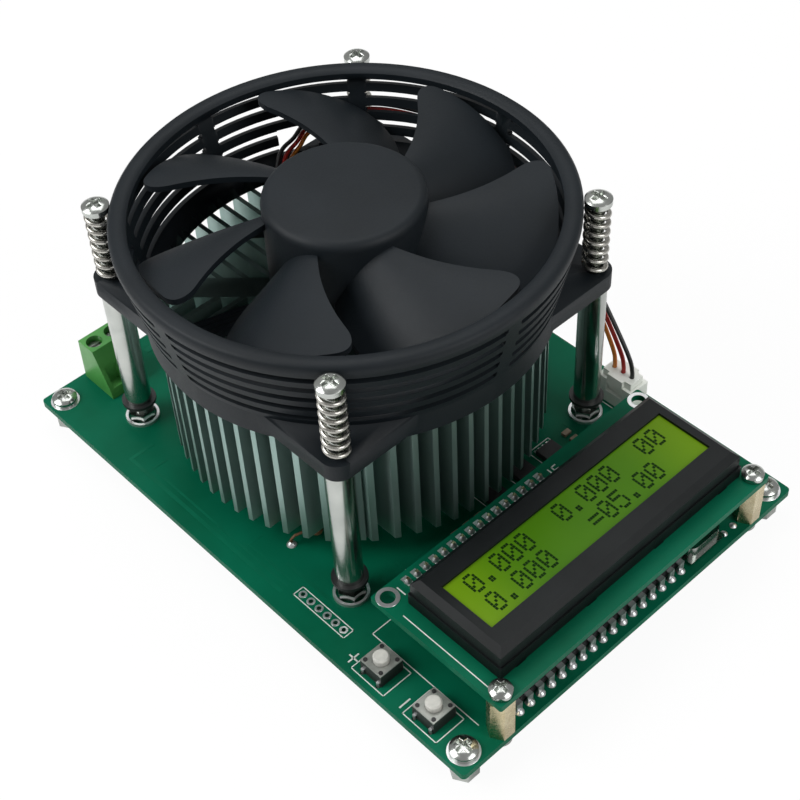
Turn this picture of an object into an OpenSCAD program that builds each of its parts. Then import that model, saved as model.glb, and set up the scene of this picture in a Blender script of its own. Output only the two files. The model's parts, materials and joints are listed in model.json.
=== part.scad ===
// Bench electronic load: a green board that carries a finned cooler with a fan,
// a two line display on standoffs, two push buttons and a two way screw terminal.
// All sizes are in millimetres. The board lies flat and stands on four hexagonal feet.

/* [Main board] */
// Width of the board, left to right along the display
board_w = 100; // [98:1:110]
// Length of the board, front to back
board_l = 140; // [138:1:150]
// Thickness of both circuit boards
board_t = 1.6; // [1.2:0.1:2]
// Corner radius of the main board
board_corner_r = 1; // [0.5:0.1:2]
// Distance between the corner holes across the width
hole_span_x = 92; // [90:0.5:92]
// Distance between the corner holes along the length
hole_span_y = 132; // [130:0.5:132]
// Height of the feet under the board
foot_h = 5; // [4:0.5:12]
// Width of a foot across its flats
foot_af = 5.5; // [5:0.1:6]

/* [Cooler] */
// Distance of the cooler's centre behind the board's centre
cooler_y = 13; // [12:0.5:14]
// Distance between neighbouring posts
post_span = 72; // [71:0.5:73]
// Diameter of a post
post_d = 6; // [5:0.1:6.4]
// Radius of the round outline of the fins
sink_r = 42; // [40:0.5:42]
// Height of the fins
sink_h = 34; // [30:0.5:38]
// Thickness of one fin
fin_t = 1.1; // [0.8:0.1:1.6]
// Distance between neighbouring fins
fin_pitch = 4; // [3.6:0.1:4.2]
// Width of one arm of the crossed core
arm_w = 6; // [4:0.5:8]
// Radius of the solid middle of the core
core_r = 11; // [9:0.5:13]

/* [Fan] */
// Outer radius of the fan ring
ring_r = 47.9; // [47:0.1:48.5]
// Wall of the fan ring
ring_wall = 1.6; // [1.2:0.1:2.4]
// Width of the rim around the top of the fan ring
rim_w = 3.8; // [3:0.1:4.5]
// Height of the fan ring above its flange
ring_h = 19.5; // [18:0.1:21]
// Number of air slots one above the other
slot_rows = 5; // [3:1:5]
// Height of one air slot
slot_h = 1.1; // [0.8:0.1:1.5]
// Distance from one air slot to the next
slot_pitch = 3.35; // [2.8:0.05:3.6]
// Width of the upright ribs between the slots
rib_w = 3.5; // [2.5:0.1:5]
// Number of blades
blade_count = 7; // [5:1:9]
// Radius of the hub
hub_r = 17; // [16.6:0.1:18]
// Thickness of a blade
blade_t = 1.4; // [1.2:0.1:2]
// Angle that one blade covers
blade_span = 43; // [30:1:44]
// Angle by which the blade tips lead the roots
blade_sweep = 25; // [10:1:35]
// Angle of the first blade
blade_phase = -155; // [-180:1:180]

/* [Display] */
// Width of the display board
display_w = 80; // [80:0.5:84]
// Depth of the display board
display_l = 36; // [36:0.5:37]
// Height of the standoffs under the display
standoff_h = 11; // [10:0.5:14]
// Width of the dark metal frame around the window
bezel_w = 71.2; // [70:0.1:72]
// Depth of the dark metal frame
bezel_l = 25.2; // [24:0.1:26]
// Height of the dark metal frame above its board
bezel_h = 7.5; // [7:0.1:9]
// Width of the window
window_w = 64; // [60:0.1:66]
// Depth of the window
window_l = 13.5; // [12:0.1:16]

/* [Buttons] */
// Side of a switch body
switch_w = 6; // [6:0.1:6.4]
// Height of the switch body
switch_h = 3.5; // [3.4:0.1:4]
// Height of a button above the board
button_h = 5; // [4.6:0.1:8]
// Radius of a button
button_r = 1.7; // [1.5:0.05:1.9]
// Way that a button travels
button_travel = 0.25; // [0.2:0.05:0.3]

/* [Terminal] */
// Distance between the two ways
way_pitch = 5.08; // [5:0.01:5.2]
// Depth of the terminal block at its foot
terminal_l = 11; // [10.5:0.1:11.4]
// Depth of the terminal block at its top
terminal_top_l = 5.6; // [5.2:0.1:6]
// Height of the terminal block
terminal_h = 12; // [11.6:0.1:14]
// Way that a wire clamp rises
clamp_rise = 1.5; // [1:0.1:1.5]

/* [Fits] */
// Radial play of a part that turns or slides
run_gap = 0.06; // [0.04:0.01:0.08]
// Radial play between a screw and what it sits in
seat_gap = 0.05; // [0.03:0.01:0.1]
// Free space between parts that must not touch
free_gap = 0.4; // [0.3:0.05:0.5]

/* [Hidden] */
$fn = 64;
e = 0.01;
screw_r = 1.5;
screw_hole_r = 1.6;
head_r = 2.9;
head_h = 2;
display_head_r = 2.4;
slot_w = 0.7;
thread_len = 2;
board_top = foot_h + board_t;
foot_entry_r = 1.6;
foot_entry_h = 2.6;
post_half = post_span / 2;
washer_t = 0.8;
washer_r = 3.9;
front = -board_l / 2;
rear_margin = 1;
transistor_t = 5;
transistor_w = 15.7;
transistor_l = 20.6;
transistor_x = 9;
transistor_hole_r = 1.8;
transistor_hole_y = 6.2;
lead_w = 1.2;
lead_t = 0.6;
lead_pitch = 5.45;
lead_y = 17;
lead_rise = 2.2;
pad_inset = 0.25;
pad_t = 0.5;
sink_z = board_top + transistor_t + pad_t;
sink_top = sink_z + sink_h;
skirt_wall = 1.6;
skirt_drop = 1.2;
flange_t = 4.2;
flange_z = sink_top + flange_t;
lug_r = 3.7;
seat_w = 1.4;
bore_r = sink_r - seat_w;
ring_foot = sink_r + free_gap + skirt_wall;
ring_top = flange_z + ring_h;
rim_in = ring_r - rim_w;
rim_t = 2.2;
rim_bevel = 0.7;
slot_low = 1.75;
rib_count = 8;
notch_turn = 63.5;
notch_w = 9;
notch_low = 0.4;
notch_h = 6.2;
nut_t = 2.4;
nut_af = 5.5;
stud_low = 3;
post_z = sink_z + 0.5;
screw_len = 8;
spring_wire_r = 0.38;
spring_play = 0.12;
spring_r = head_r - spring_wire_r - spring_play;
spring_turns = 6.5;
spring_steps = 78;
spring_sides = 6;
spring_h = 17.6;
head_z = flange_z + spring_h;
motor_r = 17;
motor_t = 2.2;
strut_w = 5;
strut_turn = 72;
boss_r = 4.3;
boss_h = 17;
bearing_r = 3.2;
shaft_r = 1.5;
motor_z = sink_top + free_gap;
motor_top = motor_z + motor_t;
hub_z = motor_top + 1.6;
hub_top = ring_top + 2.2;
hub_cap = 2.6;
hub_round = 2;
hub_wall = 1.6;
yoke_wall = 1;
magnet_wall = 2;
yoke_r = hub_r - hub_wall;
magnet_r = yoke_r - yoke_wall;
stator_r = magnet_r - magnet_wall - 0.6;
stator_z = motor_top + 5;
stator_h = 7;
coil_t = 2;
blade_low = flange_z + 5.4;
blade_high = ring_top - 1.4;
tip_r = rim_in - 1.1;
blade_rows = 8;
blade_cols = 6;
wire_r = 0.5;
wire_sides = 8;
wire_pitch = 1.2;
wire_play = 0.4;
display_y = front + display_l / 2;
display_z = board_top + standoff_h;
display_top = display_z + board_t;
display_hole_x = 37.5;
display_hole_y = 15.5;
bezel_y = display_y - 1;
bezel_wall = 0.7;
bezel_bevel = 1.4;
bezel_step = 0.35;
tab_w = 2.4;
tab_t = 0.6;
tab_drop = 2.6;
tab_gap = 0.15;
tab_x = [-30, -10, 10, 30];
glass_t = 2;
pin_pitch = 2.54;
pin_count = 16;
pin_w = 0.64;
pin_hole_r = 0.55;
pin_x0 = -32;
pin_y = display_y + display_hole_y;
strip_w = 2.5;
strip_h = 2.5;
socket_h = standoff_h - strip_h;
pin_over = 1.2;
chip_x = -8;
chip_y = front + 10.2;
chip_rows = 15.24;
chip_pins = 17;
chip_pitch = 3.02;
chip_w = 51;
chip_l = 13.4;
chip_h = 3.8;
chip_lift = 0.6;
crystal_w = 11;
crystal_l = 4.6;
crystal_gap = 1;
crystal_x = chip_x + chip_w / 2 + crystal_gap + crystal_w / 2;
crystal_y = front + 4;
crystal_pin_x = 2.44;
so_w = 4.9;
so_l = 3.9;
so_h = 1.5;
so_pitch = 1.27;
so_at = [[21, front + 44], [12.5, front + 44.6], [3.4, front + 44]];
small_at = [[28, front + 43], [28, front + 45.5], [-3, front + 42.5], [-6.5, front + 42.5], [-10, front + 42.5],
  [16.8, front + 40.5], [8, front + 40.5]];
small_size = [2, 1.25, 0.7];
switch_x = -44.5;
increase_y = front + 28.5;
decrease_y = front + 13.6;
spare_x = -43.5;
spare_y = front + 53.8;
spare_count = 6;
cover_t = 0.3;
well_r = 2.2;
peg_r = 0.45;
peg_in = 0.75;
terminal_x = -32.8;
terminal_y = board_l / 2 - rear_margin - terminal_l;
way_x = [terminal_x - way_pitch / 2, terminal_x + way_pitch / 2];
clamp_w = 3.4;
clamp_l = 4.4;
clamp_h = 4.6;
clamp_floor = 1;
clamp_roof = 1.4;
chamber_h = 7;
chamber_floor = 1;
well_floor = 0.6;
screw_y = terminal_y + 7.6;
clamp_z = board_top + chamber_floor + free_gap;
terminal_screw_r = 1.2;
terminal_head_r = 1.6;
terminal_head_h = 1.6;
terminal_well_r = 1.95;
niche_w = 3;
niche_l = 3;
plug_x = post_half + 8.8;
plug_y = cooler_y - post_half - 3;
header_w = 5.8;
header_l = 9.8;
header_h = 7;
header_wall = 0.8;
plug_h = 7.5;
resistor_x = 25;
sensor_at = [-36.5, cooler_y - 17.5];
green = [0.03, 0.33, 0.22];
black = [0.16, 0.17, 0.19];
silver = [0.78, 0.79, 0.8];
brass = [0.8, 0.65, 0.3];
white = [0.92, 0.91, 0.86];

module at_posts() {
  for (sx = [-1, 1], sy = [-1, 1])
    translate([sx * post_half, cooler_y + sy * post_half, 0]) children();
}

module at_corners() {
  for (sx = [-1, 1], sy = [-1, 1])
    translate([sx * hole_span_x / 2, sy * hole_span_y / 2, 0]) children();
}

module at_switches() {
  for (y = [increase_y, decrease_y])
    translate([switch_x, y, board_top]) children();
}

module at_cooler() {
  translate([0, cooler_y, 0]) children();
}

// Flat plate with rounded corners, centred, rising from z
module plate(w, l, t, r, z) {
  translate([0, 0, z])
    linear_extrude(t)
      union() {
        square([w, l - 2 * r], center = true);
        square([w - 2 * r, l], center = true);
        for (sx = [-1, 1], sy = [-1, 1])
          translate([sx * (w / 2 - r), sy * (l / 2 - r)]) circle(r);
      }
}

// Box centred in plan, rising from z
module block(w, l, h, z) {
  translate([-w / 2, -l / 2, z]) cube([w, l, h]);
}

// Round tube, rising from z
module tube(r_out, r_in, h, z) {
  translate([0, 0, z])
    difference() {
      cylinder(r = r_out, h = h);
      translate([0, 0, -e]) cylinder(r = r_in, h = h + 2 * e);
    }
}

// Hexagonal prism with a round bore
module hexagon(af, bore, h, z) {
  translate([0, 0, z])
    difference() {
      cylinder(d = af / cos(30), h = h, $fn = 6);
      translate([0, 0, -e]) cylinder(r = bore, h = h + 2 * e);
    }
}

// Pan head screw, head underside at z, with a cross recess
module pan_screw(len, z, head_r = head_r) {
  difference() {
    union() {
      translate([0, 0, z]) cylinder(r = head_r, h = head_h * 0.6);
      translate([0, 0, z + head_h * 0.6 - e]) cylinder(r1 = head_r, r2 = head_r * 0.72, h = head_h * 0.4);
      translate([0, 0, z - len]) cylinder(r = screw_r, h = len + e);
    }
    for (a = [0, 90])
      rotate(a) block(head_r * 1.1, slot_w, head_h, z + head_h * 0.45);
  }
}

function unit(v) = v / norm(v);

// Tube mesh along a list of points
module sweep(path, r, sides) {
  n = len(path);
  ref = unit([0.31, 0.9, 0.3]);
  ring_points = [
    for (i = [0:n - 1])
      let (d = unit(path[min(i + 1, n - 1)] - path[max(i - 1, 0)]),
           s = unit(cross(d, ref)),
           t = cross(d, s))
      for (k = [0:sides - 1])
        path[i] + r * (cos(360 * k / sides) * s + sin(360 * k / sides) * t)];
  walls = [
    for (i = [0:n - 2], k = [0:sides - 1])
      let (a = i * sides + k, b = i * sides + (k + 1) % sides)
      each [[a, b + sides, b], [a, a + sides, b + sides]]];
  first = [for (k = [0:sides - 1]) k];
  last = [for (k = [sides - 1:-1:0]) (n - 1) * sides + k];
  polyhedron(ring_points, concat(walls, [first], [last]), convexity = 6);
}

module main_board() {
  color(green)
    difference() {
      plate(board_w, board_l, board_t, board_corner_r, foot_h);
      at_corners() translate([0, 0, foot_h - e]) cylinder(r = screw_hole_r, h = board_t + 2 * e);
      at_posts() translate([0, 0, foot_h - e]) cylinder(r = screw_hole_r, h = board_t + 2 * e);
      for (sx = [-1, 1])
        translate([sx * display_hole_x, display_y - display_hole_y, foot_h - e])
          cylinder(r = screw_hole_r, h = board_t + 2 * e);
      for (i = [0:pin_count - 1])
        translate([pin_x0 + i * pin_pitch, pin_y, foot_h - e])
          cylinder(r = pin_hole_r, h = board_t + 2 * e, $fn = 12);
      for (i = [0:spare_count - 1])
        translate([spare_x, spare_y - i * pin_pitch, foot_h - e])
          cylinder(r = pin_hole_r, h = board_t + 2 * e, $fn = 12);
      for (x = way_x)
        translate([x, screw_y, foot_h - e]) cylinder(r = 0.75, h = board_t + 2 * e);
      for (i = [-1:1])
        translate([plug_x, plug_y + i * pin_pitch, foot_h - e])
          cylinder(r = pin_hole_r, h = board_t + 2 * e, $fn = 12);
      for (sy = [-1, 1], i = [0:chip_pins - 1])
        translate([chip_x + (i - (chip_pins - 1) / 2) * chip_pitch, chip_y + sy * chip_rows / 2, foot_h - e])
          cylinder(r = pin_hole_r, h = board_t + 2 * e, $fn = 12);
      for (sx = [-1, 1], sy = [-1, 1], y = [increase_y, decrease_y])
        translate([switch_x + sx * 3.25, y + sy * 2.25, foot_h - e])
          cylinder(r = pin_hole_r, h = board_t + 2 * e, $fn = 12);
      for (sx = [-1, 1], i = [-1:1])
        translate([sx * transistor_x + i * lead_pitch, cooler_y - lead_y, foot_h - e])
          cylinder(r = 0.9, h = board_t + 2 * e, $fn = 12);
      for (sy = [-1, 1])
        translate([resistor_x, cooler_y + sy * 6, foot_h - e]) cylinder(r = 0.85, h = board_t + 2 * e);
      translate([sensor_at[0], sensor_at[1], foot_h - e]) cylinder(r = 0.45, h = board_t + 2 * e);
      for (sx = [-1, 1])
        translate([crystal_x + sx * crystal_pin_x, crystal_y, foot_h - e]) cylinder(r = 0.4, h = board_t + 2 * e, $fn = 12);
    }
}

module board_feet() {
  color(silver)
    at_corners()
      difference() {
        hexagon(foot_af, screw_r + seat_gap, foot_h, 0);
        translate([0, 0, -e]) cylinder(r = foot_entry_r, h = foot_entry_h + e);
      }
}

module board_screws() {
  color(silver)
    at_corners() pan_screw(board_t + thread_len, board_top);
}

module power_transistors() {
  color(black)
    for (sx = [-1, 1])
      translate([sx * transistor_x, cooler_y, 0])
        difference() {
          block(transistor_w, transistor_l, transistor_t, board_top);
          translate([0, transistor_hole_y, board_top - e]) cylinder(r = transistor_hole_r, h = transistor_t + 2 * e);
        }
}

module transistor_leads() {
  color(silver)
    for (sx = [-1, 1], i = [-1:1])
      translate([sx * transistor_x + i * lead_pitch, cooler_y - lead_y, 0]) {
        block(lead_w, lead_t, board_t + 1 + lead_rise + lead_t, foot_h - 1);
        translate([-lead_w / 2, lead_t / 2 - e, board_top + lead_rise])
          cube([lead_w, lead_y - transistor_l / 2 - lead_t / 2 + e, lead_t]);
      }
}

module thermal_pads() {
  color([0.75, 0.76, 0.72])
    for (sx = [-1, 1])
      translate([sx * transistor_x, cooler_y, 0])
        difference() {
          block(transistor_w - 2 * pad_inset, transistor_l - 2 * pad_inset, pad_t, board_top + transistor_t);
          translate([0, transistor_hole_y, board_top + transistor_t - e])
            cylinder(r = transistor_hole_r, h = pad_t + 2 * e);
        }
}

module shunt_wire() {
  color([0.62, 0.47, 0.36])
    translate([resistor_x, cooler_y, board_top + 2.6]) {
      for (sy = [-1, 1])
        translate([0, sy * 6, -board_t - 3.4]) cylinder(r = 0.75, h = board_t + 3.4 - 0.5);
      for (sy = [-1, 1])
        translate([0, sy * 6, -0.5 - e]) cylinder(r = 0.75, h = 1.25 + e);
      rotate([90, 0, 0]) translate([0, 0, -6]) cylinder(r = 0.75, h = 12);
    }
}

// One quarter of the fins: parallel fins that run from the core to the round outline
module fin_rows() {
  rows = floor((sink_r * sin(45) - fin_pitch / 2) / fin_pitch);
  for (i = [0:rows], s = [-1, 1])
    translate([(i + 0.5) * fin_pitch, s * (i + 0.5) * fin_pitch - fin_t / 2])
      square([sink_r, fin_t]);
}

module heatsink() {
  color([0.72, 0.75, 0.75])
    at_cooler()
      translate([0, 0, sink_z])
        linear_extrude(sink_h)
          intersection() {
            circle(sink_r, $fn = 128);
            union() {
              circle(core_r);
              for (a = [45, 135])
                rotate(a) square([2 * sink_r - 1, arm_w], center = true);
              for (a = [0, 90, 180, 270])
                rotate(a) fin_rows();
            }
          }
}

module corner_posts() {
  color(silver)
    at_posts()
      difference() {
        union() {
          translate([0, 0, post_z]) cylinder(d = post_d, h = sink_top - post_z);
          translate([0, 0, foot_h - stud_low]) cylinder(r = screw_r, h = post_z - foot_h + stud_low + e);
        }
        translate([0, 0, sink_top - screw_len]) cylinder(r = screw_r + seat_gap, h = screw_len + e);
      }
}

module post_washers() {
  color(black)
    at_posts() tube(washer_r, screw_r + seat_gap, washer_t, post_z - washer_t);
}

module post_nuts() {
  color(silver)
    at_posts() hexagon(nut_af, screw_r + seat_gap, nut_t, board_top);
}

module lock_nuts() {
  color(silver)
    at_posts() hexagon(nut_af, screw_r + seat_gap, nut_t, foot_h - nut_t);
}

// Half section of the round part: skirt over the fins, tapered wall and rim
module ring_section() {
  polygon([
    [sink_r + free_gap, sink_top - skirt_drop],
    [ring_foot, sink_top - skirt_drop],
    [ring_foot, flange_z],
    [ring_r, ring_top - rim_t],
    [ring_r, ring_top - rim_bevel],
    [ring_r - rim_bevel, ring_top],
    [rim_in + rim_bevel, ring_top],
    [rim_in, ring_top - rim_bevel],
    [rim_in, ring_top - rim_t],
    [ring_r - ring_wall, ring_top - rim_t - 1],
    [ring_foot - ring_wall, flange_z],
    [bore_r, flange_z],
    [bore_r, sink_top],
    [sink_r + free_gap, sink_top]]);
}

module slotted_ring() {
  difference() {
    rotate_extrude($fn = 128) ring_section();
    for (i = [0:slot_rows - 1])
      difference() {
        block(3 * ring_r, 3 * ring_r, slot_h, flange_z + slot_low + i * slot_pitch);
        for (a = [0:360 / rib_count:179])
          rotate(a) block(4 * ring_r, rib_w, slot_h + 2, flange_z + slot_low + i * slot_pitch - 1);
      }
    rotate(notch_turn)
      translate([bore_r + 0.6, -notch_w / 2, flange_z + notch_low]) cube([2 * ring_wall + 3, notch_w, notch_h]);
  }
}

module fan_frame() {
  color(black)
    at_cooler()
      difference() {
        union() {
          slotted_ring();
          difference() {
            plate(post_span + 2 * lug_r, post_span + 2 * lug_r, flange_t - 0.1, lug_r, sink_top + 0.05);
            translate([0, 0, sink_top - e]) cylinder(r = bore_r + 1, h = flange_t + 2 * e);
          }
          translate([0, 0, motor_z]) cylinder(r = motor_r, h = motor_t);
          for (a = [0, 90, 180, 270])
            rotate(strut_turn + a)
              translate([motor_r - 1, -strut_w / 2, motor_z + 0.2]) cube([bore_r - motor_r + 2, strut_w, motor_t - 0.4]);
          translate([0, 0, motor_top - e]) cylinder(r = boss_r, h = boss_h);
        }
        translate([0, 0, motor_z + 1]) cylinder(r = bearing_r + seat_gap, h = boss_h + motor_t);
        for (sx = [-1, 1], sy = [-1, 1])
          translate([sx * post_half, sy * post_half, 0]) {
            translate([0, 0, sink_top - e]) cylinder(r = screw_r + 0.25, h = flange_t + 2 * e);
            translate([0, 0, sink_top - skirt_drop - 1])
              cylinder(d = post_d + 2 * free_gap, h = skirt_drop + 1);
          }
      }
}

module spring_screws() {
  color(silver)
    at_posts() pan_screw(head_z - sink_top + screw_len - 1, head_z);
}

// Closed ends: the pitch grows over the first turn and shrinks over the last one
function spring_rise(u) =
  let (edge = 1 / spring_turns, low = 2 * spring_wire_r + 0.1, span = spring_h - 2 * spring_wire_r - 0.1)
  u < edge ? u / edge * low
    : u > 1 - edge ? span - (1 - u) / edge * low
    : low + (u - edge) / (1 - 2 * edge) * (span - 2 * low);

module clamp_springs() {
  color(silver)
    at_posts() {
      n = spring_steps;
      s = spring_sides;
      points = [
        for (i = [0:n], k = [0:s - 1])
          let (u = i / n, a = 360 * spring_turns * u, c = 360 * k / s,
               r = spring_r + spring_wire_r * cos(c))
          [r * cos(a), r * sin(a), flange_z + spring_wire_r + 0.05 + spring_rise(u) + spring_wire_r * sin(c)]];
      walls = [
        for (i = [0:n - 1], k = [0:s - 1])
          let (p = i * s + k, q = i * s + (k + 1) % s)
          each [[p, q, q + s], [p, q + s, p + s]]];
      first = [for (k = [s - 1:-1:0]) k];
      last = [for (k = [0:s - 1]) n * s + k];
      polyhedron(points, concat(walls, [first], [last]), convexity = 10);
    }
}

module fan_circuit_board() {
  color(green)
    at_cooler() tube(13, boss_r + 0.2, 1, motor_top + 0.6);
}

module fan_stator() {
  color([0.45, 0.46, 0.48])
    at_cooler()
      difference() {
        translate([0, 0, stator_z])
          linear_extrude(stator_h)
            difference() {
              union() {
                circle(6.4);
                for (a = [0, 90])
                  rotate(a) square([2 * stator_r - 2, 3], center = true);
                intersection() {
                  difference() {
                    circle(stator_r);
                    circle(stator_r - 1.6);
                  }
                  for (a = [0, 90])
                    rotate(a) square([3 * stator_r, 12], center = true);
                }
              }
              circle(boss_r + seat_gap);
            }
      }
}

module stator_coils() {
  color([0.7, 0.38, 0.2])
    at_cooler()
      for (a = [0:90:270])
        rotate(a)
          translate([6.7, 0, stator_z - coil_t])
            difference() {
              translate([0, -3.4, 0]) cube([2.2, 6.8, stator_h + 2 * coil_t]);
              translate([-e, -1.55, coil_t - 0.05]) cube([3, 3.1, stator_h + 0.1]);
            }
}

module fan_bearing() {
  color(brass)
    at_cooler() tube(bearing_r, shaft_r + run_gap, boss_h - 3, motor_z + 2.4);
}

module fan_shaft() {
  color(silver)
    at_cooler() translate([0, 0, motor_z + 1.6]) cylinder(r = shaft_r, h = hub_top - 1.2 - motor_z - 1.6);
}

module rotor_magnet() {
  color([0.3, 0.28, 0.27])
    at_cooler() tube(magnet_r, magnet_r - magnet_wall, 12, hub_z + 1.6);
}

module rotor_yoke() {
  color(silver)
    at_cooler()
      difference() {
        translate([0, 0, hub_z + 1]) cylinder(r = yoke_r, h = hub_top - hub_cap - hub_z - 1);
        translate([0, 0, hub_z + 1 - e]) cylinder(r = magnet_r, h = hub_top - hub_cap - hub_z - 2);
        cylinder(r = shaft_r + 0.5, h = hub_top);
      }
}

// Angle, height and place of a point on a blade: u runs from root to tip, s across the blade
function blade_trim(u) = u < 0.8 ? 0 : 5 * pow((u - 0.8) / 0.2, 2);
function blade_angle(u, s) =
  let (lead = blade_sweep * pow(u, 0.85) - blade_trim(u), tail = blade_sweep * pow(u, 0.85) - blade_span + blade_trim(u))
  tail + (lead - tail) * s;
function blade_height(u, s) = blade_low + (blade_high - blade_low) * (0.35 * s + 0.65 * sin(90 * s));
function blade_point(u, s, side) =
  let (r = hub_r - 0.8 + u * (tip_r - hub_r + 0.8), a = blade_angle(u, s))
  [r * cos(a), r * sin(a), blade_height(u, s) + side * blade_t / 2];

module blade() {
  n = blade_rows;
  m = blade_cols;
  half = (n + 1) * (m + 1);
  points = [
    for (side = [1, -1], i = [0:n], j = [0:m])
      blade_point(i / n, j / m, side)];
  upper = [
    for (i = [0:n - 1], j = [0:m - 1])
      let (a = i * (m + 1) + j)
      each [[a, a + 1, a + m + 2], [a, a + m + 2, a + m + 1]]];
  lower = [for (f = upper) [half + f[0], half + f[2], half + f[1]]];
  root = [
    for (j = [0:m - 1])
      each [[j + 1, j, half + j], [j + 1, half + j, half + j + 1]]];
  tip = [
    for (j = [0:m - 1])
      let (a = n * (m + 1) + j)
      each [[a, a + 1, half + a + 1], [a, half + a + 1, half + a]]];
  tail = [
    for (i = [0:n - 1])
      let (a = i * (m + 1), b = a + m + 1)
      each [[a, b, half + b], [a, half + b, half + a]]];
  lead = [
    for (i = [0:n - 1])
      let (a = i * (m + 1) + m, b = a + m + 1)
      each [[b, a, half + a], [b, half + a, half + b]]];
  polyhedron(points, concat(upper, lower, root, tip, tail, lead), convexity = 4);
}

module fan_rotor() {
  color(black)
    at_cooler()
      difference() {
        union() {
          rotate_extrude()
            union() {
              translate([yoke_r, hub_z]) square([hub_wall, hub_top - hub_round - hub_z]);
              translate([0, hub_top - hub_cap]) square([hub_r - hub_round, hub_cap]);
              intersection() {
                translate([hub_r - hub_round, hub_top - hub_round]) circle(hub_round);
                translate([hub_r - hub_round, hub_top - hub_cap]) square([hub_round, hub_cap]);
              }
              translate([hub_r - hub_round - e, hub_top - hub_cap]) square([hub_round + e, hub_cap - hub_round]);
            }
          for (k = [0:blade_count - 1])
            rotate(blade_phase + k * 360 / blade_count) blade();
        }
        translate([0, 0, hub_z]) cylinder(r = shaft_r, h = hub_top - 1.2 - hub_z);
      }
}

// Route of the fan lead: along a strut, out through the notch, round the outside of the ring and down.
// Each wire keeps beside the middle one: at its side on the strut, above it on the ring, behind it on the way down.
function ring_at(z) = ring_foot + (ring_r - ring_foot) * (z - flange_z) / ring_h;
function strut_point(r, z, k) =
  [r * cos(strut_turn) - k * sin(strut_turn), cooler_y + r * sin(strut_turn) + k * cos(strut_turn), z];
function ring_point(a, out, z, aside, k) =
  let (r = ring_at(z + k) + out)
  [r * cos(a) - aside * k * sin(a), cooler_y + r * sin(a) + aside * k * cos(a), z + k];
function lead_route(side) =
  let (k = side * wire_pitch, lie = motor_top + wire_r + 0.05, hug = wire_r + wire_play)
  concat(
    [for (p = [[12.2, lie + 1.7], [13.6, lie + 1.55], [15, lie + 0.2], [18, lie], [26, lie], [34, lie]])
      strut_point(p[0], p[1], k)],
    [strut_point(37.4, lie + 0.9, 1.2 * k),
     ring_point(68.5, -3.4, flange_z + 1.75, 0.9, 0.95 * k),
     ring_point(64, -1.2, flange_z + 2.7, 0.5, 0.95 * k)],
    [for (p = [[59.5, 4.5, 0.2], [51, 6.5, 0], [41, 7.7, 0], [30, 7.1, 0], [18, 5.9, 0], [7, 4.7, 0], [-4, 3.5, 0]])
      ring_point(p[0], hug, flange_z + p[1], p[2], k)],
    [for (p = [[0.3, 24, 36.4, 0.75, 0.8], [0.6, 19.5, 30.8, 0.85, 0.6], [0.6, 12.5, 21.8, 1.1, 0.5],
               [0.3, 5.5, 12.8, 1.5, 0.4], [0, 1, 6.3, 1.95, 0.2], [0, 0, 2.8, 2.117, 0], [0, 0, 0, 2.117, 0]])
      [plug_x + p[0], plug_y + p[1] - p[3] * k, board_top + 7.6 + p[2] + p[4] * k]]);

module fan_wire_red() {
  color([0.75, 0.1, 0.08]) sweep(lead_route(0), wire_r, wire_sides);
}

module fan_wire_yellow() {
  color([0.85, 0.5, 0.1]) sweep(lead_route(-1), wire_r, wire_sides);
}

module fan_wire_black() {
  color(black) sweep(lead_route(1), wire_r, wire_sides);
}

module fan_header() {
  color(white)
    translate([plug_x, plug_y, 0])
      difference() {
        block(header_w, header_l, header_h, board_top);
        block(header_w - 2 * header_wall, header_l - 2 * header_wall, header_h, board_top + 1.2);
        block(header_w, 4.6, header_h, board_top + 3.4);
        for (i = [-1:1])
          translate([0, i * pin_pitch, 0]) block(pin_w + 0.06, pin_w + 0.06, 3, board_top - 1);
      }
}

module fan_header_pins() {
  color(brass)
    translate([plug_x, plug_y, 0])
      for (i = [-1:1])
        translate([0, i * pin_pitch, 0]) block(pin_w, pin_w, 6.6 + board_t, foot_h - 1.4);
}

module fan_plug() {
  color(white)
    translate([plug_x, plug_y, 0])
      difference() {
        union() {
          block(header_w - 2 * header_wall - 0.1, header_l - 2 * header_wall - 0.1, plug_h, board_top + 1.3);
          block(header_w, 4.4, plug_h - 4.2, board_top + 1.3 + 4.2);
        }
        for (i = [-1:1])
          translate([0, i * pin_pitch, 0]) {
            block(pin_w + 0.1, pin_w + 0.1, 5.4, board_top + 1);
            translate([0, 0, board_top + 7]) cylinder(r = wire_r + 0.1, h = 3);
          }
      }
}

module display_standoffs() {
  color(brass)
    for (sx = [-1, 1])
      translate([sx * display_hole_x, display_y - display_hole_y, 0])
        hexagon(5, screw_r + seat_gap, standoff_h, board_top);
}

module display_screws() {
  color(silver)
    for (sx = [-1, 1])
      translate([sx * display_hole_x, display_y - display_hole_y, 0]) {
        pan_screw(board_t + 4, display_top, display_head_r);
        translate([0, 0, foot_h]) rotate([180, 0, 0]) pan_screw(board_t + 4, 0, display_head_r);
      }
}

module bezel_tabs(w, t, h, z) {
  for (x = tab_x, s = [-1, 1])
    translate([x, bezel_y + s * (bezel_l / 2 - tab_t / 2), 0]) block(w, t, h, z);
}

module display_board() {
  color(green)
    difference() {
      translate([0, display_y, 0]) plate(display_w, display_l, board_t, 0.5, display_z);
      for (sx = [-1, 1], sy = [-1, 1])
        translate([sx * display_hole_x, display_y + sy * display_hole_y, display_z - e])
          cylinder(r = screw_hole_r, h = board_t + 2 * e);
      for (i = [0:pin_count - 1])
        translate([pin_x0 + i * pin_pitch, pin_y, display_z - e])
          cylinder(r = pin_hole_r, h = board_t + 2 * e, $fn = 12);
      bezel_tabs(tab_w + 2 * tab_gap, tab_t + 2 * tab_gap, board_t + 2 * e, display_z - e);
    }
}

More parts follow.
